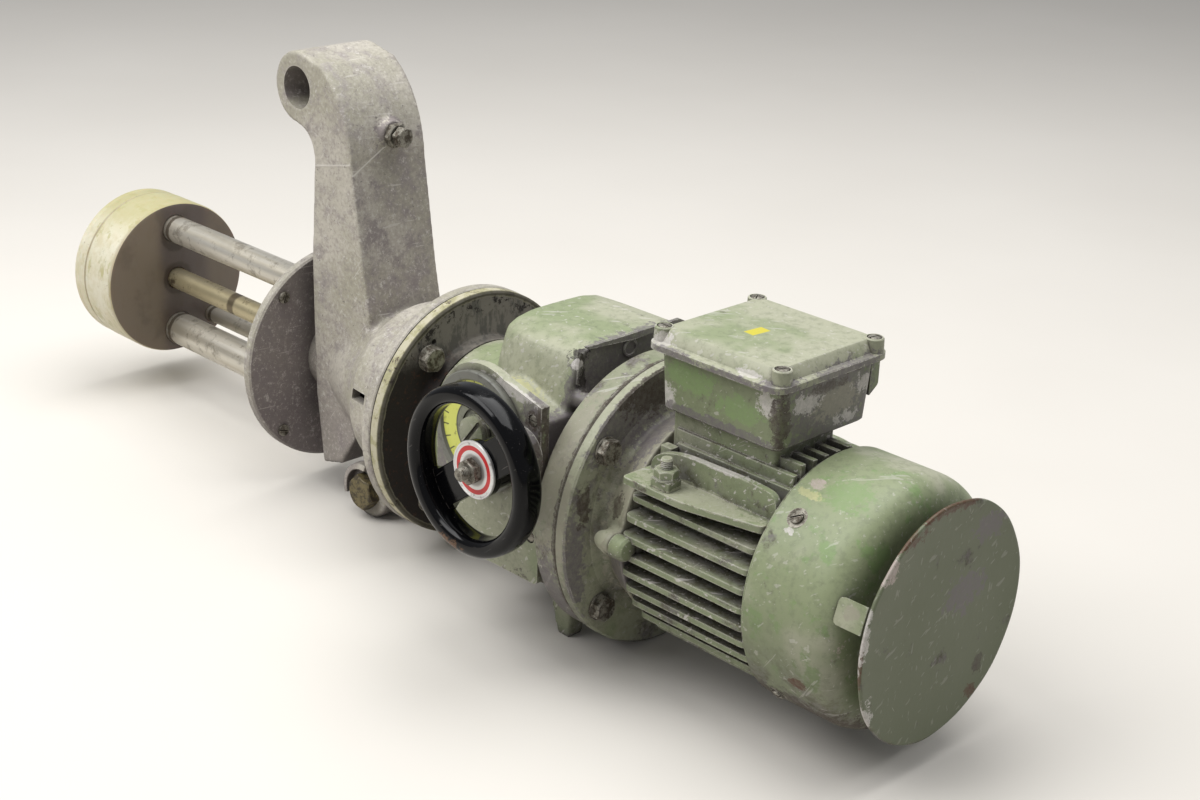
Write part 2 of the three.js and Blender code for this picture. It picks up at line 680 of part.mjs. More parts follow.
addPiece("motor_end_shield", motorEndShield(), palePaint());
boltPlaces(motorBolt).forEach((place, index) => {
  addPiece(`motor_bolt_${index + 1}`, flangeBolt(motorBolt, motorFlange.to, place), dullSteel());
});
addPiece("stator_housing", statorHousing(), greenPaint());
addPiece("earth_stud", earthStudPiece(), greenPaint());
addPiece("terminal_box", terminalBox(), greenPaint());
addPiece("terminal_lid", terminalLid(), greenPaint());
lidScrewPlaces().forEach((place, index) => {
  addPiece(`lid_screw_${index + 1}`, lidScrewPiece(place), dullSteel());
});
addPiece("cable_entry", cableEntry(), greenPaint());
addPiece("fan_cowl", fanCowl(), greenPaint());
addPiece("rain_canopy", rainCanopy(), greenPaint());
strapTurns.forEach((turn, index) => addPiece(`canopy_strap_${index + 1}`, canopyStrap(turn), greenPaint()));

// The origin is on the floor, under the middle of the whole.
assembly.position.set(
  -(head.far + canopy.to) / 2,
  (wheelSideReach - farSideReach) / 2,
  driveLineHeight,
);

const paintPump = new THREE.Group();
paintPump.add(assembly);
export default paintPump;
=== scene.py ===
# Paint pump: finer meshes over the CAD frame, painted and worn materials, a pale studio and the camera.
# Lengths are millimetres in the pump's own measure until a mesh is finished: X is 0 at the fan cowl's
# open rim and plus towards the fan, Y and Z are 0 on the drive line, and the handwheel's side is -Y.
import math

import bmesh
import bpy
from mathutils import Matrix, Vector


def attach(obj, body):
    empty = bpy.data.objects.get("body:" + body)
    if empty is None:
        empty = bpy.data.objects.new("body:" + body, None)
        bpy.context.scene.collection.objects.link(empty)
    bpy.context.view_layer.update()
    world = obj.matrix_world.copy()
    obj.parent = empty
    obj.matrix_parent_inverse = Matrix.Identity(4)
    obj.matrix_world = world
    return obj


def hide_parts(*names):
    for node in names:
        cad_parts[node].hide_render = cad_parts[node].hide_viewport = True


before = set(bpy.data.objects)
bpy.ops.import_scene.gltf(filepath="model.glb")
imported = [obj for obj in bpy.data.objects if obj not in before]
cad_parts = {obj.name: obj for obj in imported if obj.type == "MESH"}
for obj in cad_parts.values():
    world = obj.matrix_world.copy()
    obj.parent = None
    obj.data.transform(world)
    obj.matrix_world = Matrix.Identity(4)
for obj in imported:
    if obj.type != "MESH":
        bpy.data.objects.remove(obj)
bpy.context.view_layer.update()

mm = 0.001
originShift = Vector((352.25, 24.0, 100.8))  # from the pump's measure to the floor frame
largeSteps = 128
rodSteps = 48
smallSteps = 32
quarterTurns = (0, 90, 180, 270)
spindleCentre = (-184.5, 45)  # X and Z of the handwheel's axis
dialCentre = (-224, 48)  # X and Z of the speed dial


# Shader maths
# a socket whose sums, products and steps become nodes of its material
class Signal:
    def __init__(self, paint, socket):
        self.paint = paint
        self.socket = socket

    def __add__(self, other):
        return self.paint.maths("ADD", self, other)

    __radd__ = __add__

    def __sub__(self, other):
        return self.paint.maths("SUBTRACT", self, other)

    def __rsub__(self, other):
        return self.paint.maths("SUBTRACT", other, self)

    def __mul__(self, other):
        return self.paint.maths("MULTIPLY", self, other)

    __rmul__ = __mul__

    def __pow__(self, other):
        return self.paint.maths("POWER", self, other)

    def __abs__(self):
        return self.paint.maths("ABSOLUTE", self)

    # 0 at `low` and 1 at `high`, with a smooth change between them
    def step(self, low, high):
        settings = {"interpolation_type": "SMOOTHSTEP"}
        made = self.paint.node("MapRange", settings, {"Value": self, "From Min": low, "From Max": high})
        return Signal(self.paint, made.outputs[0])


# one material, with the nodes that the finishes share; its colour is built up in layers
class Paint:
    def __init__(self, name, tones, sockets):
        self.tones = tones
        self.colour = None
        self.relief = None
        self.material = bpy.data.materials.new(name)
        self.material.use_nodes = True
        self.tree = self.material.node_tree
        self.tree.nodes.clear()
        self.shader = self.node("BsdfPrincipled", {}, sockets)
        self.node("OutputMaterial", {}, {"Surface": self.shader.outputs["BSDF"]})
        local = self.node("TexCoord", {}, {}).outputs["Object"]
        self.place = self.vector("MULTIPLY_ADD", local, (1 / mm, 1 / mm, 1 / mm), tuple(-originShift))
        split = self.node("SeparateXYZ", {}, {0: self.place})
        self.x, self.y, self.z = (Signal(self, output) for output in split.outputs)

    def node(self, kind, settings, sockets):
        made = self.tree.nodes.new("ShaderNode" + kind)
        for key, value in settings.items():
            setattr(made, key, value)
        for key, value in sockets.items():
            self.join(made.inputs[key], value)
        return made

    def join(self, target, value):
        if isinstance(value, Signal):
            self.tree.links.new(value.socket, target)
        elif isinstance(value, bpy.types.NodeSocket):
            self.tree.links.new(value, target)
        elif target.type == "RGBA":
            target.default_value = (*value, 1)
        else:
            target.default_value = value

    def maths(self, operation, a, b=0.0):
        return Signal(self, self.node("Math", {"operation": operation}, {0: a, 1: b}).outputs[0])

    def vector(self, operation, a, b, c=(0, 0, 0)):
        return self.node("VectorMath", {"operation": operation}, {0: a, 1: b, 2: c}).outputs[0]

    # noise with blobs about `size` mm across, stretched along an axis where `stretch` is below 1
    def noise(self, size, detail, rough, stretch=(1, 1, 1), shift=0.0):
        scale = tuple(part / size for part in stretch)
        where = self.vector("MULTIPLY_ADD", self.place, scale, (shift, 0.7 * shift, 1.3 * shift))
        sockets = {"Vector": where, "Scale": 1, "Detail": detail, "Roughness": rough}
        return Signal(self, self.node("TexNoise", {}, sockets).outputs[0])

    # thin lines with one direction, found after turning the piece's own axes
    def scratches(self, turn, threshold, shift, width=1.1):
        sockets = {"Vector": self.place, "Rotation": turn}
        turned = self.node("VectorRotate", {"rotation_type": "EULER_XYZ"}, sockets)
        scale = (0.045 / width, 1 / width, 1 / width)
        where = self.vector("MULTIPLY_ADD", turned.outputs[0], scale, (shift, shift, shift))
        made = self.node("TexNoise", {}, {"Vector": where, "Scale": 1, "Detail": 2, "Roughness": 0.5})
        return Signal(self, made.outputs[0]).step(threshold, threshold + 0.025)

    def largest(self, first, *others):
        for other in others:
            first = self.maths("MAXIMUM", first, other)
        return first

    # two colours mixed, each a tone's name or a socket
    def mix(self, factor, a, b):
        a, b = (self.tones[tone] if isinstance(tone, str) else tone for tone in (a, b))
        return self.node("Mix", {"data_type": "RGBA"}, {0: factor, 6: a, 7: b}).outputs[2]

    # the first layer, and one more tone over what is there
    def base(self, factor, a, b):
        self.colour = self.mix(factor, a, b)

    def layer(self, factor, tone):
        self.colour = self.mix(factor, self.colour, tone)

    # 1 at a place, falling to 0 at `reach` from it, with a torn edge
    def spot(self, centre, reach, torn=0.35, grain=6.0, shift=0.0):
        offset = self.vector("SUBTRACT", self.place, centre)
        scaled = self.vector("DIVIDE", offset, reach)
        length = self.node("VectorMath", {"operation": "LENGTH"}, {0: scaled}).outputs["Value"]
        ragged = Signal(self, length) + (self.noise(grain, 6, 0.75, shift=shift) - 0.5) * (9 * torn)
        return ragged.step(1.0, 0.8)

    # 1 inside a turned rectangle on the lid's top
    def square(self, centre, half, turn):
        u = (self.x - centre[0]) * math.cos(turn) + (self.y - centre[1]) * math.sin(turn)
        v = (self.y - centre[1]) * math.cos(turn) - (self.x - centre[0]) * math.sin(turn)
        inside = abs(u).step(half[0] + 0.15, half[0] - 0.15) * abs(v).step(half[1] + 0.15, half[1] - 0.15)
        return inside * self.z.step(140, 141)

    # distance from a point, in the plane of two coordinates
    def radius(self, u, v, centre=(0, 0)):
        return ((u - centre[0]) ** 2.0 + (v - centre[1]) ** 2.0) ** 0.5

    # how far the surface faces a direction, from the piece's own normals
    def facing(self, direction):
        normal = self.node("TexCoord", {}, {}).outputs["Normal"]
        made = self.node("VectorMath", {"operation": "DOT_PRODUCT"}, {0: normal, 1: direction})
        return Signal(self, made.outputs["Value"])

    # 1 in the open, less in corners and gaps narrower than `reach` mm
    def openness(self, reach):
        made = self.node("AmbientOcclusion", {"samples": 4}, {"Distance": reach * mm})
        return Signal(self, made.outputs["AO"])

    # 1 on edges and in corners narrower than `reach` mm
    def edges(self, reach, low, high):
        geometry = self.node("NewGeometry", {}, {}).outputs["Normal"]
        softened = self.node("Bevel", {"samples": 4}, {"Radius": reach * mm}).outputs[0]
        made = self.node("VectorMath", {"operation": "DOT_PRODUCT"}, {0: softened, 1: geometry})
        return (1 - Signal(self, made.outputs["Value"])).step(low, high)

    def bump(self, height, depth, strength):
        sockets = {"Height": height, "Distance": depth * mm, "Strength": strength}
        if self.relief:
            sockets["Normal"] = self.relief
        self.relief = self.node("Bump", {}, sockets).outputs[0]

    def done(self, roughness, metallic=None):
        self.join(self.shader.inputs["Base Color"], self.colour)
        self.join(self.shader.inputs["Roughness"], roughness)
        if metallic:
            self.join(self.shader.inputs["Metallic"], metallic)
        if self.relief:
            self.join(self.shader.inputs["Normal"], self.relief)
        return self.material


# Mesh making
# the point at `station` along an axis, with the other two coordinates counted from `centre`
def place(axis, centre, station, u, v):
    if axis == "X":
        return Vector((station, centre[0] + u, centre[1] + v))
    if axis == "Y":
        return Vector((centre[0] + u, station, centre[1] + v))
    return Vector((centre[0] + u, centre[1] + v, station))


# joins rings of points with faces, and caps the two ends unless the rings close on themselves
def addRings(bm, rings, closed=False):
    loops = [[bm.verts.new(point) for point in ring] for ring in rings]
    count = max(len(loop) for loop in loops)
    following = loops[1:] + [loops[0]] if closed else loops[1:]
    for low, high in zip(loops, following):
        for i in range(count):
            j = i + 1
            corners = (low[i % len(low)], low[j % len(low)], high[j % len(high)], high[i % len(high)])
            bm.faces.new(list(dict.fromkeys(corners)))
    if not closed:
        for loop in (loops[0], loops[-1]):
            if len(loop) > 2:
                bm.faces.new(loop)


# a ring of points about an axis, or one point where its radius is 0
def circle(axis, centre, station, radius, steps):
    if radius < 0.01:
        return [place(axis, centre, station, 0, 0)]
    angles = [2 * math.pi * i / steps for i in range(steps)]
    return [place(axis, centre, station, -radius * math.sin(a), radius * math.cos(a)) for a in angles]


def addLathe(bm, profile, axis="X", centre=(0, 0), steps=largeSteps, closed=False):
    addRings(bm, [circle(axis, centre, station, radius, steps) for station, radius in profile], closed)


def addPrism(bm, outline, low, high, axis="Y", top=None):
    sections = ((low, outline), (high, top or outline))
    addRings(bm, [[place(axis, (0, 0), station, u, v) for u, v in points] for station, points in sections])


# points on a curve that leaves `start` and reaches `end`, both aimed at `corner`
def curve(start, corner, end, steps):
    points = []
    for i in range(steps + 1):
        t = i / steps
        weights = ((1 - t) ** 2, 2 * t * (1 - t), t ** 2)
        points.append(tuple(sum(w * p for w, p in zip(weights, part)) for part in zip(start, corner, end)))
    return points


# points on an arc, with its start and sweep in half turns
def arc(centre, radius, start, sweep, steps):
    angles = [math.pi * (start + sweep * i / steps) for i in range(steps + 1)]
    return [(centre[0] + radius * math.cos(angle), centre[1] + radius * math.sin(angle)) for angle in angles]


# corners of a polygon replaced by curves
def rounded(points, radius, steps=5):
    outline = []
    for index, point in enumerate(points):
        corner = Vector(point)
        before = Vector(points[index - 1]) - corner
        after = Vector(points[(index + 1) % len(points)]) - corner
        start = corner + before.normalized() * min(radius, 0.48 * before.length)
        end = corner + after.normalized() * min(radius, 0.48 * after.length)
        outline += curve(start, corner, end, steps)
    return outline


def rectangle(u, v):
    return [(u[0], v[0]), (u[1], v[0]), (u[1], v[1]), (u[0], v[1])]


def around(centre, half):
    return (centre - half, centre + half)


def onCircle(radius, degrees):
    angle = math.radians(degrees)
    return (-radius * math.sin(angle), radius * math.cos(angle))


# a hexagon with a chamfered end, from its seat at `low` to its top at `high`
def addHexHead(bm, acrossFlats, low, high, axis="X", centre=(0, 0), turn=0.0):
    topRadius = 0.475 * acrossFlats
    outward = math.copysign(1, high - low)
    rings = [[], [], []]
    for i in range(48):
        angle = 2 * math.pi * i / 48
        radius = 0.5 * acrossFlats / math.cos((angle + math.pi / 6) % (math.pi / 3) - math.pi / 6)
        u, v = math.sin(angle + turn), math.cos(angle + turn)
        drop = 0.6 * (radius - topRadius) + 0.3
        rings[0].append(place(axis, centre, low, radius * u, radius * v))
        rings[1].append(place(axis, centre, high - outward * drop, radius * u, radius * v))
        rings[2].append(place(axis, centre, high, topRadius * u, topRadius * v))
    addRings(bm, rings)


# a threaded length as rings one pitch apart
def addThread(bm, radius, low, high, pitch, axis="X", centre=(0, 0)):
    outward = math.copysign(1, high - low)
    count = int(abs(high - low) / pitch)
    profile = [(low, 0), (low, radius)]
    for i in range(count):
        start = low + outward * i * pitch
        profile.append((start + outward * 0.5 * pitch, radius - 0.6 * pitch))
        profile.append((start + outward * pitch, radius))
    profile.append((high + outward * 0.3, radius - 0.8))
    profile.append((high + outward * 0.3, 0))
    addLathe(bm, profile, axis, centre, 24)


# a round screw head with a slot across it
def addSlottedHead(bm, radius, low, high, axis, centre, turn, slot=1.2):
    floor = high - 0.45 * (high - low)
    addLathe(bm, [(low, 0), (low, radius), (floor, radius), (floor, 0)], axis, centre, smallSteps)
    edge = math.asin(min(0.9, 0.5 * slot / (0.94 * radius)))
    for side in (0, math.pi):
        sections = []
        shoulder = high - math.copysign(0.4, high - low)
        for station, size in ((floor, radius), (shoulder, radius), (high, 0.86 * radius)):
            ring = []
            for i in range(15):
                angle = side + turn + edge + (math.pi - 2 * edge) * i / 14
                ring.append(place(axis, centre, station, size * math.cos(angle), size * math.sin(angle)))
            sections.append(ring)
        addRings(bm, sections)


def makeObject(name, fill):
    bm = bmesh.new()
    fill(bm)
    bmesh.ops.recalc_face_normals(bm, faces=bm.faces)
    for vert in bm.verts:
        vert.co = (vert.co + originShift) * mm
    mesh = bpy.data.meshes.new(name)
    bm.to_mesh(mesh)
    bm.free()
    made = bpy.data.objects.new(name, mesh)
    bpy.context.collection.objects.link(made)
    return made


def applyModifiers(piece):
    bpy.context.view_layer.update()
    depsgraph = bpy.context.evaluated_depsgraph_get()
    mesh = bpy.data.meshes.new_from_object(piece.evaluated_get(depsgraph))
    old = piece.data
    piece.modifiers.clear()
    piece.data = mesh
    bpy.data.meshes.remove(old)


# cuts shapes out of a piece, each from a function that fills a bmesh
def carve(piece, cutters):
    tools = []
    for index, fill in enumerate(cutters):
        tool = makeObject(f"{piece.name}.cut{index}", fill)
        cut = piece.modifiers.new("cut", "BOOLEAN")
        cut.operation = "DIFFERENCE"
        cut.solver = "EXACT"
        cut.object = tool
        tools.append(tool)
    applyModifiers(piece)
    for tool in tools:
        mesh = tool.data
        bpy.data.objects.remove(tool)
        bpy.data.meshes.remove(mesh)


# melts overlapping shapes into one casting with soft corners
def meltTogether(piece, voxel):
    remesh = piece.modifiers.new("melt", "REMESH")
    remesh.mode = "VOXEL"
    remesh.voxel_size = voxel * mm
    soften = piece.modifiers.new("soften", "SMOOTH")
    soften.factor = 0.5
    soften.iterations = 3
    applyModifiers(piece)


# paints a piece, rounds or sharpens its edges, hangs it under its body's empty and hides the CAD parts it
# stands for
def finishPiece(piece, material, slot, body="pump", nodes=(), bevel=0.0, segments=2, sharp=35):
    piece.data.materials.append(material)
    for face in piece.data.polygons:
        face.use_smooth = True
    if bevel:
        edge = piece.modifiers.new("edge", "BEVEL")
        edge.width = bevel * mm
        edge.segments = segments
        edge.limit_method = "ANGLE"
        edge.angle_limit = math.radians(30)
        edge.harden_normals = True
    else:
        piece.data.set_sharp_from_angle(angle=math.radians(sharp))
    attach(piece, body)
    if nodes:
        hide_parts(*nodes)


# `melt` is the voxel of a melted casting, `settle` a last change to its mesh before it is carved
def makePiece(name, fill, finish, cutters=(), melt=0.0, settle=None, **ending):
    piece = makeObject(name, fill)
    if melt:
        meltTogether(piece, melt)
    if settle:
        settle(piece)
    if cutters:
        carve(piece, cutters)
    finishPiece(piece, *finish, **ending)


# fills for makePiece and carve
def lathe(*profile, **settings):
    return lambda bm: addLathe(bm, profile, **settings)


def rod(radius, low, high, axis="X", centre=(0, 0), steps=smallSteps):
    return lathe((low, 0), (low, radius), (high, radius), (high, 0), axis=axis, centre=centre, steps=steps)


# a rod with a chamfer at each end
def chamferedRod(radius, low, high, first, last, **settings):
    start = [(low, 0), (low, radius - first), (low + first, radius)]
    return lathe(*start, (high - last, radius), (high, radius - last), (high, 0), **settings)


# Materials
shades = {
    "sage": (0.232, 0.266, 0.150),
    "light": (0.345, 0.347, 0.250),
    "fresh": (0.185, 0.262, 0.108),
    "deep": (0.120, 0.135, 0.080),
    "purple": (0.135, 0.118, 0.122),
    "brown": (0.060, 0.046, 0.034),
    "chip": (0.47, 0.46, 0.38),
    "chalk": (0.52, 0.49, 0.46),
    "rust": (0.080, 0.030, 0.014),
    "yellow": (0.52, 0.45, 0.03),
    "olive": (0.40, 0.39, 0.20),
    "pink": (0.40, 0.33, 0.30),
    "bone": (0.265, 0.250, 0.190),
    "nearBlack": (0.020, 0.015, 0.012),
}

# turns of the three sets of fine scratches and the two of broad smears
along = ((0, 0.6, 0), (0.2, 0.1, -0.75), (0, 0.5, 1.35), (0.3, 0.5, -0.6), (0, 0.9, 0.3))
across = ((-0.9, 0, 1.57), (-0.4, 0, 1.5), (-2.2, 0, 1.6), (-0.7, 0.5, 1.2), (-1.3, 0.4, 1.9))


# worn green paint, with painted shade in corners, under things and on faces not turned up; `marks` are placed
# patches as (shade, centre, reach), `lay` the way its scratches run
def greenPaint(name, wear, grime, fresh, pale, seed, marks, darkening=0.0, edge=1.2, label=None, lay=along):
    paint = Paint(name, shades, {"Specular IOR Level": 0.4})
    broad = paint.noise(75, 3, 0.6, shift=seed)
    cloud = paint.noise(22, 6, 0.7, shift=seed + 3)
    fine = paint.noise(5, 5, 0.7, shift=seed + 5)
    dirtAndShade = paint.noise(30, 6, 0.7, shift=seed + 9)
    openness = paint.openness(16)
    upward = paint.facing((0, 0, 1))
    paint.base(broad.step(0.66 - 0.3 * pale, 0.8 - 0.3 * pale), "sage", "light")
    paint.layer(cloud.step(0.66 - 0.18 * fresh, 0.8 - 0.26 * fresh), "fresh")
    paint.layer(0.35 * fine.step(0.46, 0.66), "deep")
    # painted shade: faces not turned up are mixed towards deep green, and `darkening` sets the least amount
    # of deep green over the whole piece
    paint.layer(paint.largest(0.6 * upward.step(0.5, -0.4), darkening), "deep")
    soilAndShade = dirtAndShade.step(0.66 - 0.22 * grime, 0.77 - 0.22 * grime)
    # corner and low are painted shade, in corners and gaps and on faces turned down; they join the dirt
    # patches in one purple brown layer
    corner = (openness + 0.9 * (dirtAndShade - 0.5)).step(0.80, 0.42)
    low = upward.step(0.0, -0.8) * dirtAndShade.step(0.36, 0.54)
    soilAndShade = paint.largest(soilAndShade, corner, low)
    tint = paint.mix(fine.step(0.42, 0.6), "purple", "brown")
    paint.layer(0.8 * soilAndShade, tint)
    smears = paint.largest(
        paint.scratches(lay[3], 0.66, seed + 17, 4.0),
        paint.scratches(lay[4], 0.67, seed + 23, 3.0),
    )
    paint.layer((0.15 + 0.5 * wear) * smears, "chalk")
    mottle = 0.62 + 0.33 * paint.noise(3.6, 6, 0.85, shift=seed + 25).step(0.44, 0.58)
    for shade, centre, reach in marks:
        paint.layer(mottle * paint.spot(centre, reach, shift=seed), shade)
    if label:
        paint.layer(0.92 * paint.square(*label), "yellow")
    lines = paint.largest(
        paint.scratches(lay[0], 0.76 - 0.05 * wear, seed),
        paint.scratches(lay[1], 0.77 - 0.05 * wear, seed + 2),
        paint.scratches(lay[2], 0.77 - 0.05 * wear, seed + 4),
    )
    flecks = paint.noise(3.4, 3, 0.6, shift=seed + 19)
    chips = flecks.step(0.78 - 0.08 * wear, 0.79 - 0.08 * wear) * cloud.step(0.44, 0.58)
    patchy = paint.noise(10, 6, 0.75, shift=seed + 15).step(0.56 - 0.16 * wear, 0.60 - 0.16 * wear)
    rim = paint.edges(edge, 0.03, 0.14) * openness.step(0.45, 0.7) * patchy
    worn = paint.largest(chips, 0.6 * lines, rim)
    bare = paint.mix(fine.step(0.38, 0.6), "chip", "chalk")
    bare = paint.mix(paint.noise(8, 4, 0.7, shift=seed + 21).step(0.58, 0.62), bare, "rust")
    paint.layer(0.9 * worn, bare)
    paint.bump(cloud, 0.7, 0.3)
    paint.bump(fine, 0.2, 0.6)
    paint.bump(1 - worn, 0.25, 0.8)
    return paint.done(0.36 + 0.2 * cloud + 0.22 * soilAndShade + 0.12 * worn), "green_paint"


def castAluminium():
    tones = {
        "pale": (0.44, 0.41, 0.35),
        "olive": (0.32, 0.30, 0.235),
        "mid": (0.29, 0.262, 0.24),
        "purple": (0.175, 0.148, 0.148),
        "dark": (0.066, 0.056, 0.053),
        "chalk": (0.58, 0.55, 0.50),
    }
    paint = Paint("cast aluminium", tones, {"Specular IOR Level": 0.45})
    broad = paint.noise(60, 4, 0.6)
    cloud = paint.noise(16, 7, 0.75, shift=4)
    mottle = paint.noise(6, 5, 0.75, shift=12)
    sand = paint.noise(1.6, 3, 0.6, shift=7)
    openness = paint.openness(22)
    towardsMotor = paint.facing((1, 0, 0))
    paint.base(broad.step(0.38, 0.62), "pale", "olive")
    paint.layer(cloud.step(0.46, 0.66), "mid")
    # the faces turned to the motor get purple grey, painted shade broken by stain blotches, and the rod
    # plate's face gets painted shadow
    side = towardsMotor.step(0.6, 0.95) * paint.z.step(205, 165)
    plateFace = paint.x.step(-499, -500.5) * towardsMotor.step(0.6, 0.9)
    paint.layer(side * (0.2 + 0.35 * cloud.step(0.40, 0.64)), "purple")
    paint.layer(0.75 * plateFace, "purple")
    web = (paint.z + 25 * (cloud - 0.5)).step(20, -45) * paint.x.step(-415, -425)
    paint.layer(0.6 * web, "purple")
    paint.layer(0.7 * mottle.step(0.57, 0.68) * cloud.step(0.4, 0.55), "chalk")
    speckle = paint.noise(3.2, 6, 0.8, shift=41)
    paint.layer(0.45 * speckle.step(0.50, 0.64), "purple")
    paint.layer(0.40 * speckle.step(0.47, 0.36), "chalk")
    # painted shade over the screw pad, which the top lamp lights
    paint.layer(0.8 * paint.spot((-440, 4, 190), (9, 15, 12)), "purple")
    # painted shade in corners and gaps and on the faces turned down
    paint.layer(0.6 * (openness + 0.7 * (cloud - 0.5)).step(0.78, 0.35), "dark")
    paint.layer(0.55 * paint.facing((0, 0, 1)).step(0.0, -0.8), "dark")
    # a raised bead across the arm's handwheel side, and a pale crease beside the screw pad
    bead = abs(paint.z - 160.5 - 0.22 * (paint.x + 483.3) + 1.6 * (mottle - 0.5))
    bead = bead.step(1.1, 0.4) * paint.facing((0, -1, 0)).step(0.7, 0.9)
    crease = abs(paint.z - 176 - 0.55 * (paint.y + 10) + 1.2 * (mottle - 0.5))
    crease = crease.step(0.9, 0.3) * towardsMotor.step(0.5, 0.8) * paint.y.step(-2, -4)
    lines = paint.largest(
        0.8 * bead,
        crease,
        0.7 * paint.scratches((0, 0.9, 0), 0.705, 3.0, 1.6),
        0.5 * paint.scratches((0, 0.9, 1.5), 0.69, 5.0, 3.0),
        0.7 * paint.edges(1.5, 0.03, 0.16) * openness.step(0.5, 0.75) * mottle.step(0.4, 0.52),
    )
    paint.layer(0.7 * lines, "chalk")
    pits = paint.noise(2.4, 3, 0.6, shift=30).step(0.67, 0.70)
    paint.layer(0.55 * pits, "dark")
    paint.bump(sand, 0.25, 0.7)
    paint.bump(mottle, 0.5, 0.35)
    paint.bump(cloud, 0.9, 0.35)
    paint.bump(1 - pits, 0.4, 0.6)
    paint.bump(bead, 0.8, 0.5)
    return paint.done(0.44 + 0.25 * cloud, 0.22 * broad.step(0.65, 0.35)), "cast_aluminium"


def creamPaint():
    tones = {
        "cream": (0.43, 0.40, 0.29),
        "yellow": (0.32, 0.30, 0.17),
        "grey": (0.160, 0.145, 0.122),
        "ash": (0.090, 0.084, 0.072),
        "rust": (0.045, 0.020, 0.010),
        "black": (0.012, 0.008, 0.006),
    }
    paint = Paint("cream flange", tones, {"Specular IOR Level": 0.4})
    radius = paint.radius(paint.y, paint.z)
    cloud = paint.noise(14, 7, 0.75)
    grain = paint.noise(4, 6, 0.75, shift=5)
    rim = (radius + 4 * (cloud - 0.5)).step(88.5, 90)
    # the lower handwheel side of the face is black rust, the upper part keeps its grey
    rustSide = (paint.z + 30 * (cloud - 0.5)).step(62, 46)
    streak = paint.noise(9, 5, 0.7, (1, 1, 0.3), 17)
    upper = paint.mix((streak + 0.5 * (cloud - 0.5)).step(0.46, 0.58), "grey", "ash")
    face = paint.mix(rustSide, upper, "black")
    spots = (grain + 0.8 * (cloud - 0.5)).step(0.53, 0.57) * radius.step(72, 86)
    face = paint.mix(spots, face, "black")
    face = paint.mix(rustSide * grain.step(0.55, 0.64), face, "rust")
    paint.base(rim, face, "cream")
    paint.layer(rim * cloud.step(0.44, 0.56), "yellow")
    paint.layer(0.75 * rim * (cloud + 0.3 * (grain - 0.5)).step(0.56, 0.61), "grey")
    paint.layer(0.9 * rim * (grain + 0.4 * (cloud - 0.5)).step(0.60, 0.64), "rust")
    seam = paint.largest(paint.x.step(-343.2, -344.2), paint.x.step(-337.4, -335.6))
    paint.layer(0.85 * rim * seam, "black")
    paint.bump(grain, 0.4, 0.8)
    paint.bump(cloud, 0.8, 0.45)
    return paint.done(0.5 + 0.35 * grain), "cream_paint"


def brightSteel(name, tint, dirtAt, seed=0.0, stains=0.5):
    tones = {"steel": tint, "dirtAndShade": (0.085, 0.062, 0.038), "haze": (0.42, 0.37, 0.27)}
    paint = Paint(name, tones, {"Anisotropic": 0.35})
    streak = paint.noise(8, 3, 0.6, (0.04, 1, 1), seed)
    cloud = paint.noise(16, 7, 0.75, shift=seed + 4)
    paint.base(0.6 * streak.step(0.4, 0.7), "steel", "haze")
    paint.layer(stains * cloud.step(0.52, 0.64), "dirtAndShade")
    for station, width in dirtAt:
        band = abs(paint.x - station + 8 * (cloud - 0.5)).step(width, 0.5 * width)
        paint.layer(0.8 * band, "dirtAndShade")
    # painted shade in corners, where the rods and shaft meet other parts
    paint.layer(0.6 * paint.openness(12).step(0.6, 0.2), "dirtAndShade")
    paint.bump(streak, 0.05, 0.5)
    paint.bump(cloud, 0.1, 0.4)
    return paint.done(0.22 + 0.4 * cloud, 0.75), "bright_steel"


def boltSteel():
    tones = {
        "zinc": (0.26, 0.245, 0.205),
        "dark": (0.055, 0.045, 0.032),
        "rust": (0.08, 0.04, 0.022),
        "bare": (0.5, 0.47, 0.4),
    }
    paint = Paint("bolt steel", tones, {})
    cloud = paint.noise(6, 6, 0.75)
    grain = paint.noise(1.5, 4, 0.7, shift=3)
    paint.base(cloud.step(0.42, 0.60), "zinc", "dark")
    paint.layer(0.7 * grain.step(0.56, 0.66), "rust")
    # painted shade in the corners and crevices of bolts and screws
    paint.layer(0.75 * paint.openness(5).step(0.65, 0.2), "dark")
    paint.layer(0.6 * paint.edges(0.6, 0.03, 0.2), "bare")
    paint.bump(grain, 0.12, 0.6)
    return paint.done(0.34 + 0.35 * cloud, 0.6), "bolt_steel"


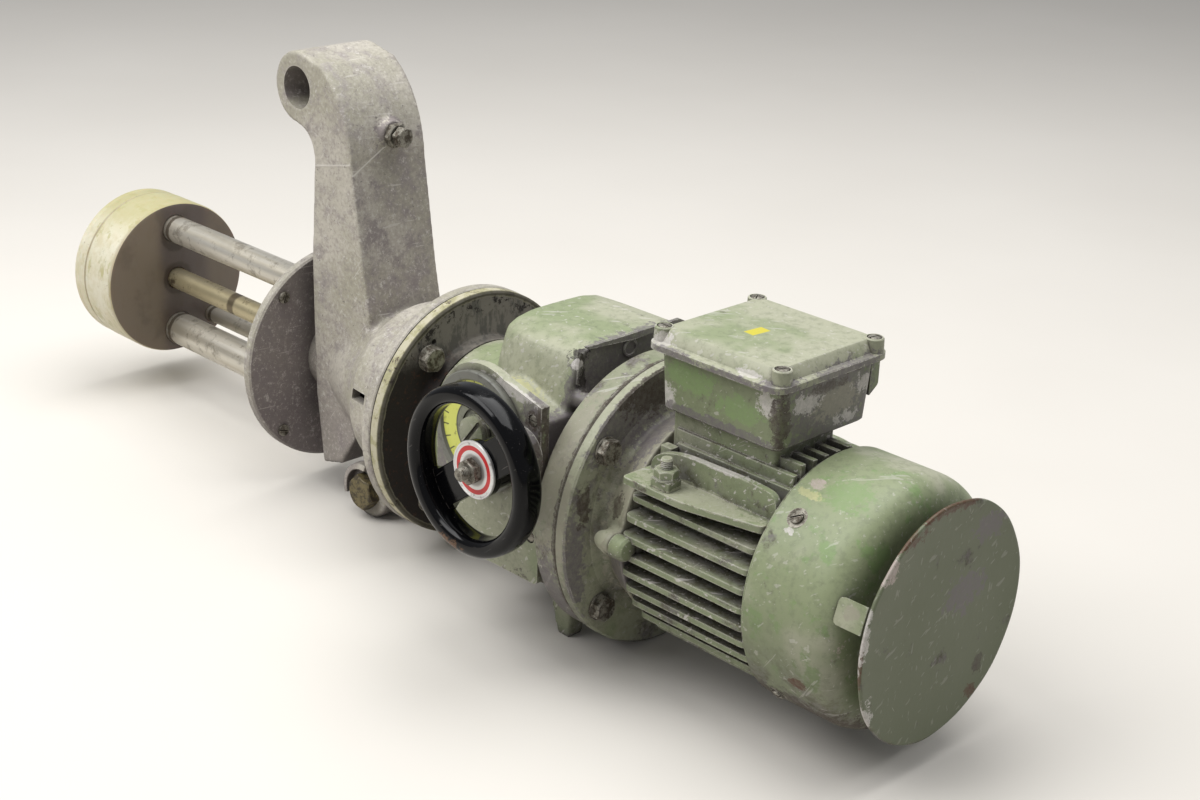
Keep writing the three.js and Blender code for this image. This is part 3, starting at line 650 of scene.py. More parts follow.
def ivoryPlastic():
    tones = {
        "ivory": (0.52, 0.475, 0.325),
        "pale": (0.60, 0.57, 0.45),
        "stain": (0.37, 0.34, 0.16),
        "amber": (0.22, 0.15, 0.07),
        "tan": (0.130, 0.102, 0.074),
        "grey": (0.070, 0.054, 0.052),
        "dark": (0.05, 0.036, 0.026),
    }
    paint = Paint("ivory plastic", tones, {"Specular IOR Level": 0.45, "Subsurface Weight": 0.04})
    cloud = paint.noise(26, 6, 0.72)
    grain = paint.noise(5, 6, 0.75, shift=5)
    run = paint.noise(9, 5, 0.7, (1, 1, 0.25), 14)
    paint.base(cloud.step(0.40, 0.62), "ivory", "pale")
    farFace = paint.facing((-1, 0, 0)).step(0.6, 0.9)
    paint.layer((0.7 - 0.55 * farFace) * run.step(0.52, 0.64), "stain")
    joint = abs(paint.x + 772).step(2.6, 0.6)
    nearEdge = (paint.x + 6 * (cloud - 0.5)).step(-736, -731)
    paint.layer(0.6 * paint.largest(0.8 * joint, nearEdge), "amber")
    paint.layer(0.7 * grain.step(0.60, 0.67) * cloud.step(0.45, 0.6), "amber")
    # the near face is painted darker, painted shade over its stains: tan at the handwheel's side, a purple
    # grey upright band, grey tan beyond it
    face = paint.facing((1, 0, 0)).step(0.6, 0.9)
    lateral = paint.y + 14 * (cloud - 0.5)
    near = paint.mix(lateral.step(-22, -8), "tan", "grey")
    near = paint.mix(0.7 * lateral.step(24, 38), near, "tan")
    near = paint.mix(0.35 * paint.noise(24, 5, 0.6, shift=9).step(0.50, 0.70), near, "dark")
    paint.layer(0.92 * face, near)
    # painted shade round the shaft and a painted shadow under the upper rod, where they go into the near face
    shaftShade = face * (paint.radius(paint.y, paint.z) + 5 * (grain - 0.5)).step(16, 12.5)
    rodShadow = face * (paint.radius(paint.y, paint.z, (0, 39)) + 5 * (grain - 0.5)).step(16, 13)
    paint.layer(0.9 * paint.largest(shaftShade, rodShadow), "dark")
    top = paint.facing((0, 0, 1)).step(0.55, 0.95) * (1 - face)
    paint.layer(0.75 * top, "stain")
    paint.bump(grain, 0.12, 0.5)
    return paint.done(0.35 + 0.3 * cloud), "ivory_plastic"


def blackPlastic():
    tones = {
        "black": (0.0018, 0.0018, 0.0022),
        "dust": (0.009, 0.008, 0.008),
        "scrape": (0.14, 0.075, 0.04),
        "line": (0.12, 0.11, 0.10),
        "rim": (0.10, 0.09, 0.08),
    }
    gloss = {"Specular IOR Level": 0.16, "Coat Weight": 0.06, "Coat Roughness": 0.03}
    paint = Paint("black plastic", tones, gloss)
    cloud = paint.noise(18, 5, 0.7)
    dust = paint.noise(3, 6, 0.8, shift=4)
    paint.base(dust.step(0.60, 0.74), "black", "dust")
    scrape = paint.spot((-198, -141, -8), (13, 12, 5), 0.4, 3)
    paint.layer(0.8 * scrape, "scrape")
    paint.layer(0.5 * paint.scratches((0, 0.7, 0), 0.71, 8), "line")
    paint.layer(0.4 * paint.edges(0.9, 0.05, 0.2) * dust.step(0.46, 0.56), "rim")
    paint.bump(dust, 0.04, 0.4)
    return paint.done(0.1 + 0.22 * cloud.step(0.5, 0.75) + 0.3 * scrape), "black_plastic"


def discAluminium():
    tones = {"silver": (0.66, 0.65, 0.63), "red": (0.50, 0.012, 0.014), "dirtAndShade": (0.13, 0.11, 0.09)}
    paint = Paint("hub disc", tones, {"Specular IOR Level": 0.5})
    radius = paint.radius(paint.x, paint.z, spindleCentre)
    ring = abs(radius - 14.6).step(1.75, 1.45)
    cloud = paint.noise(7, 6, 0.75)
    paint.base(ring, "silver", "red")
    paint.layer(0.6 * cloud.step(0.54, 0.64), "dirtAndShade")
    # darker round the nut
    paint.layer(0.7 * radius.step(11.5, 9.5), "dirtAndShade")
    paint.layer(0.6 * paint.scratches((0, 0.4, 0), 0.68, 2), "dirtAndShade")
    return paint.done(0.2 + 0.3 * cloud, 0.3 * (1 - ring)), "disc_aluminium"


def dialFace():
    ticks = 24
    tones = {
        "yellow": (0.60, 0.62, 0.12),
        "grey": (0.17, 0.175, 0.125),
        "bezel": (0.13, 0.13, 0.11),
        "dark": (0.03, 0.028, 0.02),
    }
    paint = Paint("speed dial", tones, {"Specular IOR Level": 0.5})
    radius = paint.radius(paint.x, paint.z, dialCentre)
    cloud = paint.noise(9, 6, 0.75)
    band = radius.step(21.2, 21.8) * radius.step(35.2, 34.8)
    paint.base(band, "bezel", "yellow")
    paint.layer(radius.step(21.8, 21.2), "grey")
    line = abs(radius - 21.4).step(0.8, 0.4)
    angle = paint.maths("ARCTAN2", paint.z - dialCentre[1], paint.x - dialCentre[0])
    sector = paint.maths("FRACT", angle * (ticks / (2 * math.pi)) + 10)
    tick = abs(sector - 0.5).step(0.07, 0.045) * radius.step(29.6, 30) * band
    paint.layer(0.85 * paint.largest(tick, line), "dark")
    paint.layer(0.55 * cloud.step(0.53, 0.63), "dark")
    # painted shade in the dial's corners
    paint.layer(0.8 * paint.openness(7).step(0.7, 0.3), "dark")
    return paint.done(0.3 + 0.3 * cloud), "dial_face"


def oliveBrass():
    tones = {"olive": (0.155, 0.125, 0.055), "dark": (0.04, 0.03, 0.018), "bare": (0.26, 0.225, 0.12)}
    paint = Paint("olive brass", tones, {})
    cloud = paint.noise(7, 6, 0.75)
    paint.base(cloud.step(0.42, 0.6), "olive", "dark")
    paint.layer(0.5 * paint.edges(0.8, 0.03, 0.2), "bare")
    paint.bump(cloud, 0.3, 0.6)
    return paint.done(0.4 + 0.3 * cloud, 0.3), "brass"


def stageFloor():
    tones = {"warm": (0.62, 0.59, 0.54), "pale": (0.68, 0.65, 0.60)}
    paint = Paint("pale floor", tones, {"Specular IOR Level": 0.1})
    cloud = paint.noise(400, 3, 0.5)
    paint.base(cloud, "warm", "pale")
    return paint.done(0.85 + 0.1 * cloud)


gearboxPaint = greenPaint(
    "gearbox paint", wear=0.6, grime=0.3, fresh=-0.1, pale=0.85, seed=1.0,
    marks=[
        ("brown", (-196, -52, -52), (34, 44, 26)),
        ("brown", (-175, 10, 40), (8, 200, 60)),
        ("purple", (-175, 16, 84), (12, 300, 90)),
        # painted shade standing in for a groove on the end face, then near black in the lip's torn gap
        ("nearBlack", (-178, -47, 84), (5, 4, 24)),
        ("nearBlack", (-181, -47, 102), (10, 7, 6)),
        ("chalk", (-181, -51, 97), (4, 4, 4)),
        ("chalk", (-190, -93, 86), (26, 3, 7)),
        ("olive", (-215, -68, 76), (24, 9, 9)),
        ("purple", (-270, -93, 20), (12, 12, 50)),
        ("brown", (-168, -90, 30), (4, 10, 60)),
        ("brown", (-176, -93, 70), (7, 4, 7)),
    ],
)
flangePaint = greenPaint(
    "flange paint", wear=0.5, grime=0.75, fresh=0.0, pale=1.1, darkening=0.45, edge=2.0, seed=3.0,
    marks=[
        ("bone", (-156, -80, 40), (14, 40, 70)),
        ("purple", (-156, -90, -50), (14, 20, 40)),
        ("brown", (-146, 0, 0), (2.5, 300, 300)),
    ],
)
shieldPaint = greenPaint(
    "shield paint", wear=0.2, grime=0.6, fresh=0.0, pale=1.1, darkening=0.2, seed=5.0,
    marks=[
        ("bone", (-118, -20, 20), (17, 110, 110)),
        # painted light, lifting the cone where it lies in shade under the box
        ("light", (-122, -80, 12), (10, 18, 26)),
        ("purple", (-117, -60, -20), (12, 26, 20)),
        ("purple", (-124, -30, 62), (12, 34, 22)),
        ("brown", (-122, -72, 24), (6, 10, 14)),
        # the next four marks darken the flange face turned to the motor: painted shade, with brown stains
        ("purple", (-135.5, -40, 72), (3, 46, 34)),
        ("brown", (-135.5, -10, 90), (3, 60, 22)),
        ("purple", (-135.5, -96, -24), (3, 16, 60)),
        ("brown", (-135.5, -84, 22), (3, 7, 14)),
        ("bone", (-141, -99, 24), (5, 8, 60)),
    ],
)
finPaint = greenPaint(
    "fin paint", wear=1.1, grime=0.55, fresh=0.2, pale=0.45, edge=1.6, seed=8.0,
    marks=[("light", (-60, -66, 51), (60, 14, 2)), ("chalk", (-56, -52, 68.5), (34, 5, 1.4))],
)
boxPaint = greenPaint(
    "box paint", wear=0.5, grime=0.36, fresh=0.4, pale=0.3, seed=12.0,
    marks=[
        ("fresh", (-84, -46, 116), (22, 5, 10)),
        ("fresh", (-45, -46, 108), (22, 5, 8)),
        ("chalk", (-104, -46, 98), (7, 5, 11)),
        ("purple", (-62, -46, 92), (60, 6, 4)),
        ("chalk", (-22, -47, 118), (9, 4, 8)),
        ("purple", (-10, 4, 108), (9, 60, 40)),
        ("bone", (-11, 8, 110), (5, 24, 13)),
        ("chalk", (-10, -22, 116), (5, 16, 8)),
        ("chalk", (-10, 18, 97), (5, 14, 6)),
        ("chalk", (-10, 34, 116), (5, 13, 7)),
        ("brown", (-10, -4, 122), (5, 22, 4)),
        ("brown", (-10, 0, 88), (5, 60, 3)),
        ("brown", (-13, -44, 106), (7, 9, 20)),
        ("brown", (-60, -46, 129), (90, 6, 2.6)),
        ("brown", (-11, 0, 129), (6, 90, 2.6)),
    ],
)
lidPaint = greenPaint(
    "lid paint", wear=0.45, grime=0.18, fresh=0.1, pale=1.05, seed=15.0,
    marks=[
        ("chalk", (-108, -50, 134), (14, 9, 9)),
        ("purple", (-14, -44, 132.5), (16, 18, 4)),
        ("purple", (-92, -57, 132), (22, 4, 4)),
        ("purple", (-44, -57, 131), (30, 4, 4)),
        ("chalk", (-34, -52, 136), (12, 4, 2.5)),
        ("purple", (-7, 10, 134), (5, 36, 6)),
    ],
    label=((-65.9, -8.8), (4.2, 7.4), -0.1),
)
cowlPaint = greenPaint(
    "cowl paint", wear=0.3, grime=0.22, fresh=0.7, pale=0.5, seed=18.0,
    marks=[
        ("olive", (13, -43, 71), (9, 4, 2.6)),
        ("pink", (12, -35, 75), (6, 5, 4)),
        ("pink", (64, -26, 78), (6, 3, 3)),
        ("bone", (66, -69, 47), (3, 5, 9)),
        ("rust", (40, -76.7, -32), (7, 4, 5)),
        ("fresh", (34, -34, 75), (16, 14, 12)),
        ("chalk", (15, -62, 54), (4, 4, 2.2)),
        ("pink", (70, -76, -6), (5, 8, 20)),
        ("brown", (20, -55, -70), (60, 70, 22)),
        ("chalk", (60, -82, 8), (1.6, 3, 7)),
    ],
)
canopyPaint = greenPaint(
    "canopy paint", wear=0.05, grime=0.3, fresh=0.4, pale=0.0, darkening=1.0, edge=3.0, seed=22.0,
    marks=[
        ("rust", (86, 38, -60), (3, 7, 5)),
        ("rust", (86, -14, 77.5), (4, 70, 5)),
        ("rust", (85, -78, -10), (3, 2.6, 50)),
        ("chalk", (84, -76, 24), (4, 5, 30)),
        ("pink", (84, -58, 54), (4, 9, 12)),
        ("rust", (84, -40, 68), (4, 14, 8)),
        ("chalk", (84, -68, -42), (4, 6, 16)),
        ("purple", (87, 20, 14), (3, 22, 14)),
        ("purple", (87, 40, 52), (3, 16, 10)),
        ("brown", (87, 44, -44), (3, 6, 8)),
    ],
    lay=across,
)
strapPaint = greenPaint(
    "strap paint", wear=0.3, grime=0.3, fresh=0.0, pale=0.6, darkening=0.2, edge=1.5, seed=27.0,
    marks=[("bone", (74, -76, 27), (6, 10, 5))],
)
aluminium = castAluminium()
cream = creamPaint()
rodSteel = brightSteel("rod steel", (0.60, 0.57, 0.50), [(-726, 3), (-514, 3)])
shaftSteel = brightSteel("shaft steel", (0.46, 0.40, 0.25), [(-640, 6), (-560, 5), (-516, 5)], 9.0, 0.9)
bolts = boltSteel()
ivory = ivoryPlastic()
black = blackPlastic()
discFinish = discAluminium()
dialFinish = dialFace()
brass = oliveBrass()
print("materials made")

# Pump head
head = {"far": -791, "groove": -783, "joint": -772, "near": -731, "coverRadius": 66, "bodyRadius": 66.3}
rods = {
    "tie_rod_upper": {"radius": 11.5, "place": (0, 44.5)},
    "discharge_tube": {"radius": 14, "place": (0, -46)},
    "tie_rod_rear": {"radius": 7, "place": (34, -40)},
}
shaft = {"radius": 9, "hole": 9.8, "from": -762, "to": -392}


# holes a little wider than the three rods
def rodHoles(gap, low, high):
    return [
        rod(part["radius"] + gap, low, high, centre=part["place"], steps=rodSteps) for part in rods.values()
    ]


def shaftHole(low, high):
    return rod(shaft["hole"], low, high, steps=rodSteps)


def headCover(bm):
    far, groove, joint, radius = head["far"], head["groove"], head["joint"], head["coverRadius"]
    addLathe(bm, [
        (far, 0), (far, radius - 4), (far + 1, radius - 1.6), (far + 3, radius),
        (groove - 0.5, radius), (groove, radius - 0.2), (groove + 0.5, radius),
        (joint - 1.4, radius), (joint - 0.3, radius - 1), (joint - 0.3, 0),
    ])


def headBody(bm):
    joint, near, radius = head["joint"], head["near"], head["bodyRadius"]
    addLathe(bm, [
        (joint, 0), (joint, radius - 1.1), (joint + 1.1, radius), (near - 3, radius),
        (near - 1, radius - 0.9), (near, radius - 2.9), (near, 0),
    ])


makePiece("headCover", headCover, ivory, nodes=["head_cover"])
headHoles = [shaftHole(-763, -730), *rodHoles(0.6, head["near"] - 5.5, head["near"] + 1)]
makePiece("headBody", headBody, ivory, headHoles, nodes=["head_body"])
for name, part in rods.items():
    fill = chamferedRod(part["radius"], -736, -504.5, 0.5, 0.5, centre=part["place"], steps=rodSteps)
    makePiece(name + ".fine", fill, rodSteel, nodes=[name])
turningRod = chamferedRod(shaft["radius"], shaft["from"], shaft["to"], 0.6, 0.6, steps=rodSteps)
makePiece("driveShaft", turningRod, shaftSteel, body="shaft", nodes=["drive_shaft"])
print("pump head and rods made")

# Bracket casting
arm = {"halfWidth": 35, "boss": (-502, 216), "bossRadius": 27, "bore": 16}
bell = {
    "outside": [
        (-470, 35), (-458, 40), (-444, 45.5), (-428, 51), (-416, 56), (-408, 62), (-400, 68), (-382, 70),
    ],
    "foot": [(-366, 76), (-354.5, 91.5)],
    "wall": 8,
    "seam": 11,
}
plate = {"from": -509, "to": -501, "radius": 85.7, "screwCircle": 77, "screwAngle": 43}
port = {"centre": (-415, -79), "radius": 21.8}
screwPad = {"centre": (4, 188), "face": -437, "radius": 11}


def armOutline():
    front = [(-478, -78), (-455, -72), (-430, -36), (-415, 43), (-424, 86)]
    shoulder = curve((-437, 165), (-440, 214), (-474, 237), 8)
    boss = arc(arm["boss"], arm["bossRadius"], 0.5, 0.96, 24)
    neck = curve(boss[-1], (-484, 186), (-483, 165), 8)
    return [*front, *shoulder, *boss, *neck[1:], (-488, 84), (-486, -20)]


# radius of the bell's outside at a station along the drive line
def bellRadius(station):
    points = bell["outside"] + bell["foot"]
    for (low, first), (high, second) in zip(points, points[1:]):
        if station <= high:
            return first + (second - first) * (station - low) / (high - low)
    return points[-1][1]


def bracketBody(bm):
    addPrism(bm, armOutline(), -arm["halfWidth"], arm["halfWidth"])
    start = [(plate["to"] - 3, 0), (plate["to"] - 3, 30)]
    addLathe(bm, [*start, *bell["outside"], (-372, 72), *bell["foot"], (-351, 92), (-351, 0)], steps=96)
    face, radius = screwPad["face"], screwPad["radius"]
    pad = [(face - 12, 0), (face - 12, radius), (face - 0.6, radius), (face, radius - 0.8), (face, 0)]
    addLathe(bm, pad, centre=screwPad["centre"], steps=rodSteps)
    outer = port["radius"]
    boss = [(-39.9, 0), (-39.9, outer - 1), (-38.6, outer), (0, outer), (0, 0)]
    addLathe(bm, boss, "Y", port["centre"], 64)


# softens the seam between the bell and the web, and leaves the other edges crisp
def softenSeam(piece):
    bm = bmesh.new()
    bm.from_mesh(piece.data)
    near = []
    for vert in bm.verts:
        x, y, z = vert.co / mm - originShift
        fromBell = abs(math.hypot(y, z) - bellRadius(x))
        fromWeb = min(abs(abs(y) - arm["halfWidth"]), abs(x + 415 + 0.21 * (z - 43)))
        if -462 < x < -375 and max(fromBell, fromWeb) < bell["seam"]:
            near.append(vert)
    for _ in range(30):
        bmesh.ops.smooth_vert(bm, verts=near, factor=0.5, use_axis_x=True, use_axis_y=True, use_axis_z=True)
    bm.to_mesh(piece.data)
    bm.free()


def bellInside(bm):
    inner = [(station, radius - bell["wall"]) for station, radius in bell["outside"] if station > -448]
    addLathe(bm, [(-448, 0), (-448, 33), *inner, (-338, 62), (-338, 0)], steps=96)


def bellSlot(bm):
    addPrism(bm, rounded(rectangle((-398.5, -381.5), (9, 17)), 1.2), -90, -50)


bracketHoles = [
    bellInside,
    shaftHole(-515, -440),
    rod(arm["bore"], -40, 40, "Y", arm["boss"], 64),
    rod(5.3, -461, -430, centre=screwPad["centre"]),
    rod(12.8, -45, -21, "Y", port["centre"], rodSteps),
    bellSlot,
]
makePiece(
    "bracketBody", bracketBody, aluminium, bracketHoles, melt=1.6, settle=softenSeam,
    nodes=["bracket_casting"], sharp=48,
)
plateDisc = chamferedRod(plate["radius"], plate["from"], plate["to"], 0.8, 1.4)
plateHoles = [shaftHole(-520, -490), *rodHoles(0.4, plate["from"] - 1, -503.5)]
makePiece("bracketPlate", plateDisc, aluminium, plateHoles)
flangeRim = [(-354, 62), (-354, 91.8), (-353.2, 93.1), (-352.4, 93.5), (-346, 93.5), (-345, 92.6), (-345, 62)]
makePiece("bracketFlange", lathe(*flangeRim, closed=True), aluminium)


def plateScrews(bm):
    for quarter in quarterTurns:
        angle = plate["screwAngle"] + quarter
        centre = onCircle(plate["screwCircle"], angle)
        addSlottedHead(bm, 4.6, -501.2, -498.4, "X", centre, math.radians(30 + angle))


# a curved lug of the casting over the outlet port
def portLug(bm):
    section = ((18.2, -47), (22.8, -46), (23.4, -38), (18.2, -36))
    arcs = [arc(port["centre"], radius, 80 / 180, 118 / 180, 12) for radius, _ in section]
    rings = [[Vector((x, y, z)) for (x, z), (_, y) in zip(ring, section)] for ring in zip(*arcs)]
    addRings(bm, rings)


def setScrew(bm):
    addThread(bm, 5, -460, -428.4, 1.5, centre=screwPad["centre"])
    addHexHead(bm, 14, -429, -423, centre=screwPad["centre"], turn=0.3)


def lockNut(bm):
    for face in (-436.7, -431):
        addHexHead(bm, 17, -434, face, centre=screwPad["centre"])


def portPlug(bm):
    addLathe(bm, [(-22, 0), (-22, 12.2), (-40.6, 12.2), (-40.6, 0)], "Y", port["centre"], rodSteps)
    addHexHead(bm, 25.1, -40.3, -48.6, "Y", port["centre"], 0.25)


makePiece("plateScrews", plateScrews, bolts)
makePiece("portLug", portLug, aluminium, bevel=1.2)
makePiece("setScrewFine", setScrew, bolts, nodes=["set_screw"], sharp=25)
makePiece("lockNutFine", lockNut, bolts, nodes=["lock_nut"], sharp=25)
makePiece("portPlugFine", portPlug, brass, nodes=["port_plug"], sharp=25)
print("bracket made")

# Gearbox
outputBolt = {"circle": 72.5, "angle": 40.5, "acrossFlats": 17, "face": -335, "top": -326.5}
motorBolt = {"circle": 87, "angle": 50, "acrossFlats": 16, "face": -136, "top": -128.5}
cover = {"left": -270, "right": -168, "bottom": -45, "shoulder": 81, "front": -93, "back": -86}
sideBoss = {"drop": 17, "right": -178}
coverScrewPlaces = ((-176, 70), (-176, -12), (-262, 66), (-258, -30))


def boltCentres(bolt):
    angle = bolt["angle"]
    return [onCircle(bolt["circle"], degrees) for degrees in (angle, 180 - angle, 180 + angle, -angle)]


def boltHoles(bolt, low, high):
    return [rod(5.3, low, high, centre=centre) for centre in boltCentres(bolt)]


# a washer, a hex head and a short shank
def hexBolt(bolt, centre, turn):
    face = bolt["face"]
    profile = ((0.3, 0), (0.3, 9.6), (1.1, 9.6), (1.5, 9.1), (1.5, 0))
    washer = [(face + rise, radius) for rise, radius in profile]

    def fill(bm):
        addLathe(bm, washer, "X", centre, rodSteps)
        addHexHead(bm, bolt["acrossFlats"], face + 1.4, bolt["top"], "X", centre, turn)
        addLathe(bm, [(face - 16, 0), (face - 16, 5), (face + 1, 5), (face + 1, 0)], "X", centre, smallSteps)

    return fill


def flangeBolts(prefix, nodePrefix, bolt):
    for index, centre in enumerate(boltCentres(bolt)):
        fill = hexBolt(bolt, centre, 0.35 * index + 0.2)
        makePiece(f"{prefix}{index + 1}", fill, bolts, nodes=[f"{nodePrefix}_{index + 1}"], sharp=25)


def outputFlange(bm):
    rim = [(-344.7, 0), (-344.7, 91.6), (-343.6, 93), (-336.4, 93), (-335, 91.4), (-335, 62.5)]
    addLathe(bm, [*rim, (-334, 60.8), (-331, 60), (-323, 60), (-323, 0)])


pinHole = rod(2.2, -341, -334, centre=(-42.1, 65.7), steps=16)
outputHoles = [*boltHoles(outputBolt, -346, -334), pinHole]
makePiece("gearboxFlange", outputFlange, cream, outputHoles, nodes=["gearbox_flange"])
flangeBolts("flangeBolt", "flange_bolt", outputBolt)


# round over the dial, then sloping down to a shoulder at the motor's end
def coverOutline(drop=0, right=cover["right"]):
    low = cover["bottom"]
    crown = arc(dialCentre, 46 - drop, 0.36, 0.64, 32)
    leftCorner = arc((cover["left"] + drop + 30, low + 30), 30, 1.0, 0.5, 12)
    rightCorner = arc((right - 4, low + 4), 4, 1.5, 0.5, 12)
    return [(right, cover["shoulder"] - drop), *crown, *leftCorner, *rightCorner]


# the box over the gears: a little domed, with a broad round corner at the handwheel's far side
def topBoxSection(x, rise, corner):
    side = [(62, 0), (61.2, 50), (59.8, 66), (56.8, 80)]
    dome = [(52, 96), (49, 101.5), (42, 105), (29, 107.4), (10, 108)]
    right = [*side, *((y, z + rise) for y, z in dome)]
    left = [(corner - y, z) for y, z in reversed(right)]
    return [place("X", (0, 0), x, y, z) for y, z in right + left]


def gearboxBody(bm):
    neck = [(-322.7, 0), (-322.7, 60), (-252, 70), (-180, 70), (-166, 80), (-164, 90), (-160, 96), (-160, 0)]
    addLathe(bm, neck, steps=96)
    corners = ((-261, -2, 13), (-258, -1, 8), (-249, -0.5, 4), (-232, 0, 0), (-180, 0, 0))
    addRings(bm, [topBoxSection(*corner) for corner in corners])
    addPrism(bm, rectangle((-256, -176), (-54, 54)), -71, 2, "Z", rectangle((-260, -174), (-62, 62)))
    addPrism(bm, coverOutline(**sideBoss), cover["back"] + 0.3, -30)
    for y in ((-55, -43), (43, 55)):
        top = rectangle((-193, -169), (y[0] - 6, y[1] + 6))
        addPrism(bm, rectangle((-187, -175), y), -100.8, -55, "Z", top)
    addLathe(bm, [(-180, 0), (-180, 7), (-163, 5), (-163, 0)], "X", (-49, 73), smallSteps)


def inputFlange(bm):
    rim = [(-166, 0), (-166, 97.6), (-164.8, 99.3), (-163.4, 99.8), (-146.8, 99.8)]
    addLathe(bm, [*rim, (-145.3, 98.6), (-145.3, 0)])


# a thick lip of paint that hangs over the top box's end, with a torn gap
def paintLip(bm):
    outer = [(-52.2, 84), (-51, 98), (-49, 105.4), (-44, 108), (0, 108), (44, 108), (49, 105.4), (51.6, 96)]
    for first, last in ((0, 2), (3, 7)):
        rings = []
        for y, z in outer[first:last + 1]:
            inward = Vector((y, z - 60)).normalized() * (3.2 + 1.4 * math.sin(0.9 * y + z))
            low = (y - inward.x, z - inward.y)
            ring = ((-181.5, y, z), (-178.6, y, z), (-178.2, *low), (-181.5, *low))
            rings.append([Vector(point) for point in ring])
        addRings(bm, rings)


def endPlug(bm):
    rim = [(-180.5, 0), (-180.5, 6.6), (-179.2, 6.6), (-178.6, 6), (-178.6, 4.8)]
    addLathe(bm, [*rim, (-179.4, 4.4), (-179.4, 0)], "X", (-3, 98), rodSteps)


def coverHub(bm):
    profile = [(-92.9, 7.3), (-92.9, 19), (-95, 17.6), (-99.2, 17), (-100, 16.2), (-100, 7.3)]
    addLathe(bm, profile, "Y", spindleCentre, 64, closed=True)


def coverPlate(bm):
    addPrism(bm, coverOutline(), cover["front"], cover["back"])


def coverScrews(bm):
    for index, centre in enumerate(coverScrewPlaces):
        addSlottedHead(bm, 3.8, -90.6, -92.6, "Y", centre, 0.5 * index)


makePiece("gearboxBody", gearboxBody, gearboxPaint, melt=1.6, nodes=["gearbox_housing"], sharp=60)
rimHole = rod(1.8, -160, -156.5, "X", (-97.5, -0.5), 16)
makePiece("inputFlange", inputFlange, flangePaint, [*boltHoles(motorBolt, -153, -144), rimHole])
makePiece("paintLip", paintLip, gearboxPaint)
makePiece("endPlug", endPlug, gearboxPaint)
makePiece("coverHub", coverHub, gearboxPaint)
coverHoles = [rod(7.3, -101, -88, "Y", spindleCentre, rodSteps)]
coverHoles += [rod(4.4, -94, -91, "Y", centre) for centre in coverScrewPlaces]
makePiece(
    "gearboxCover", coverPlate, gearboxPaint, coverHoles, nodes=["gearbox_cover"], bevel=1.4, segments=3,
)
makePiece("coverScrews", coverScrews, bolts)


# Speed dial
def dialScale(bm):
    profile = [(-93.3, 0), (-93.3, 41.2), (-98.2, 42), (-99, 41.2), (-99, 36.2), (-97, 35), (-97, 0)]
    addLathe(bm, profile, "Y", dialCentre)


def dialKnob(bm):
    addLathe(bm, [(-97.3, 0), (-97.3, 12), (-99, 12), (-99, 0)], "Y", dialCentre, 64)
    addSlottedHead(bm, 11.4, -98.6, -103.8, "Y", dialCentre, 0.9, 3.2)
    addLathe(bm, [(-97, 0), (-97, 6.4), (-101.5, 5.8), (-102, 5), (-102, 0)], "Y", (-206.5, 62), rodSteps)


dialHoles = [rod(20, -101, -92, "Y", spindleCentre, 64), rod(16, -101, -95.6, "Y", dialCentre, 64)]
makePiece("dialScale", dialScale, dialFinish, dialHoles, nodes=["speed_dial"])
makePiece("dialKnobFine", dialKnob, shieldPaint, nodes=["dial_knob"])
print("gearbox made")

# Handwheel
wheel = {"outer": 57, "inner": 44.5, "front": -145.5, "back": -126}
spoke = {"halfWidth": 12.5, "front": -133.3, "back": -126, "tilt": 37, "reach": 48}


def handwheelBody(bm):
    section = rounded(rectangle((wheel["back"], wheel["front"]), (wheel["inner"], wheel["outer"])), 7.5, 7)
    addLathe(bm, section, "Y", spindleCentre, closed=True)
    tilt = math.radians(spoke["tilt"])
    lengthwise, sideways = Vector((math.cos(tilt), math.sin(tilt))), Vector((-math.sin(tilt), math.cos(tilt)))
    half, reach = spoke["halfWidth"], spoke["reach"]
    near = [(-reach, -half - 4), (-38, -half), (38, -half), (reach, -half - 4)]
    corners = near + [(-u, -v) for u, v in near]
    outline = [tuple(Vector(spindleCentre) + lengthwise * u + sideways * v) for u, v in corners]
    addPrism(bm, outline, spoke["front"], spoke["back"])
    hub = [(-133.2, 0), (-133.2, 19), (-128, 19), (-126, 17), (-111, 16.4), (-110, 15.6), (-110, 0)]
    addLathe(bm, hub, "Y", spindleCentre, 64)


def hubDisc(bm):
    rim = [(-133.6, 6.9), (-133.6, 19.2), (-135, 19.5), (-135.6, 19.1), (-135.6, 18.2)]
    addLathe(bm, [*rim, (-135.3, 17.8), (-135.3, 6.9)], "Y", spindleCentre, closed=True)


def handSpindle(bm):
    profile = [(-134.9, 0), (-134.9, 6.5), (-89.6, 6.5), (-89, 5.9), (-89, 0)]
    addLathe(bm, profile, "Y", spindleCentre, rodSteps)
    addHexHead(bm, 15.4, -135.9, -141.9, "Y", spindleCentre, 0.4)
    addThread(bm, 4.5, -140.9, -147.6, 1.25, "Y", spindleCentre)


makePiece(
    "handwheelFine", handwheelBody, black, body="hand_drive", nodes=["handwheel"], bevel=1.1, segments=3,
)
makePiece("hubDisc", hubDisc, discFinish, body="hand_drive", nodes=["handwheel_disc"])
makePiece("spindleFine", handSpindle, bolts, body="hand_drive", nodes=["hand_spindle"], sharp=25)
print("handwheel made")

# Motor end shield
lug = {"circle": 80, "angle": 88}
tieLugs = [onCircle(lug["circle"], lug["angle"] + quarter) for quarter in quarterTurns]


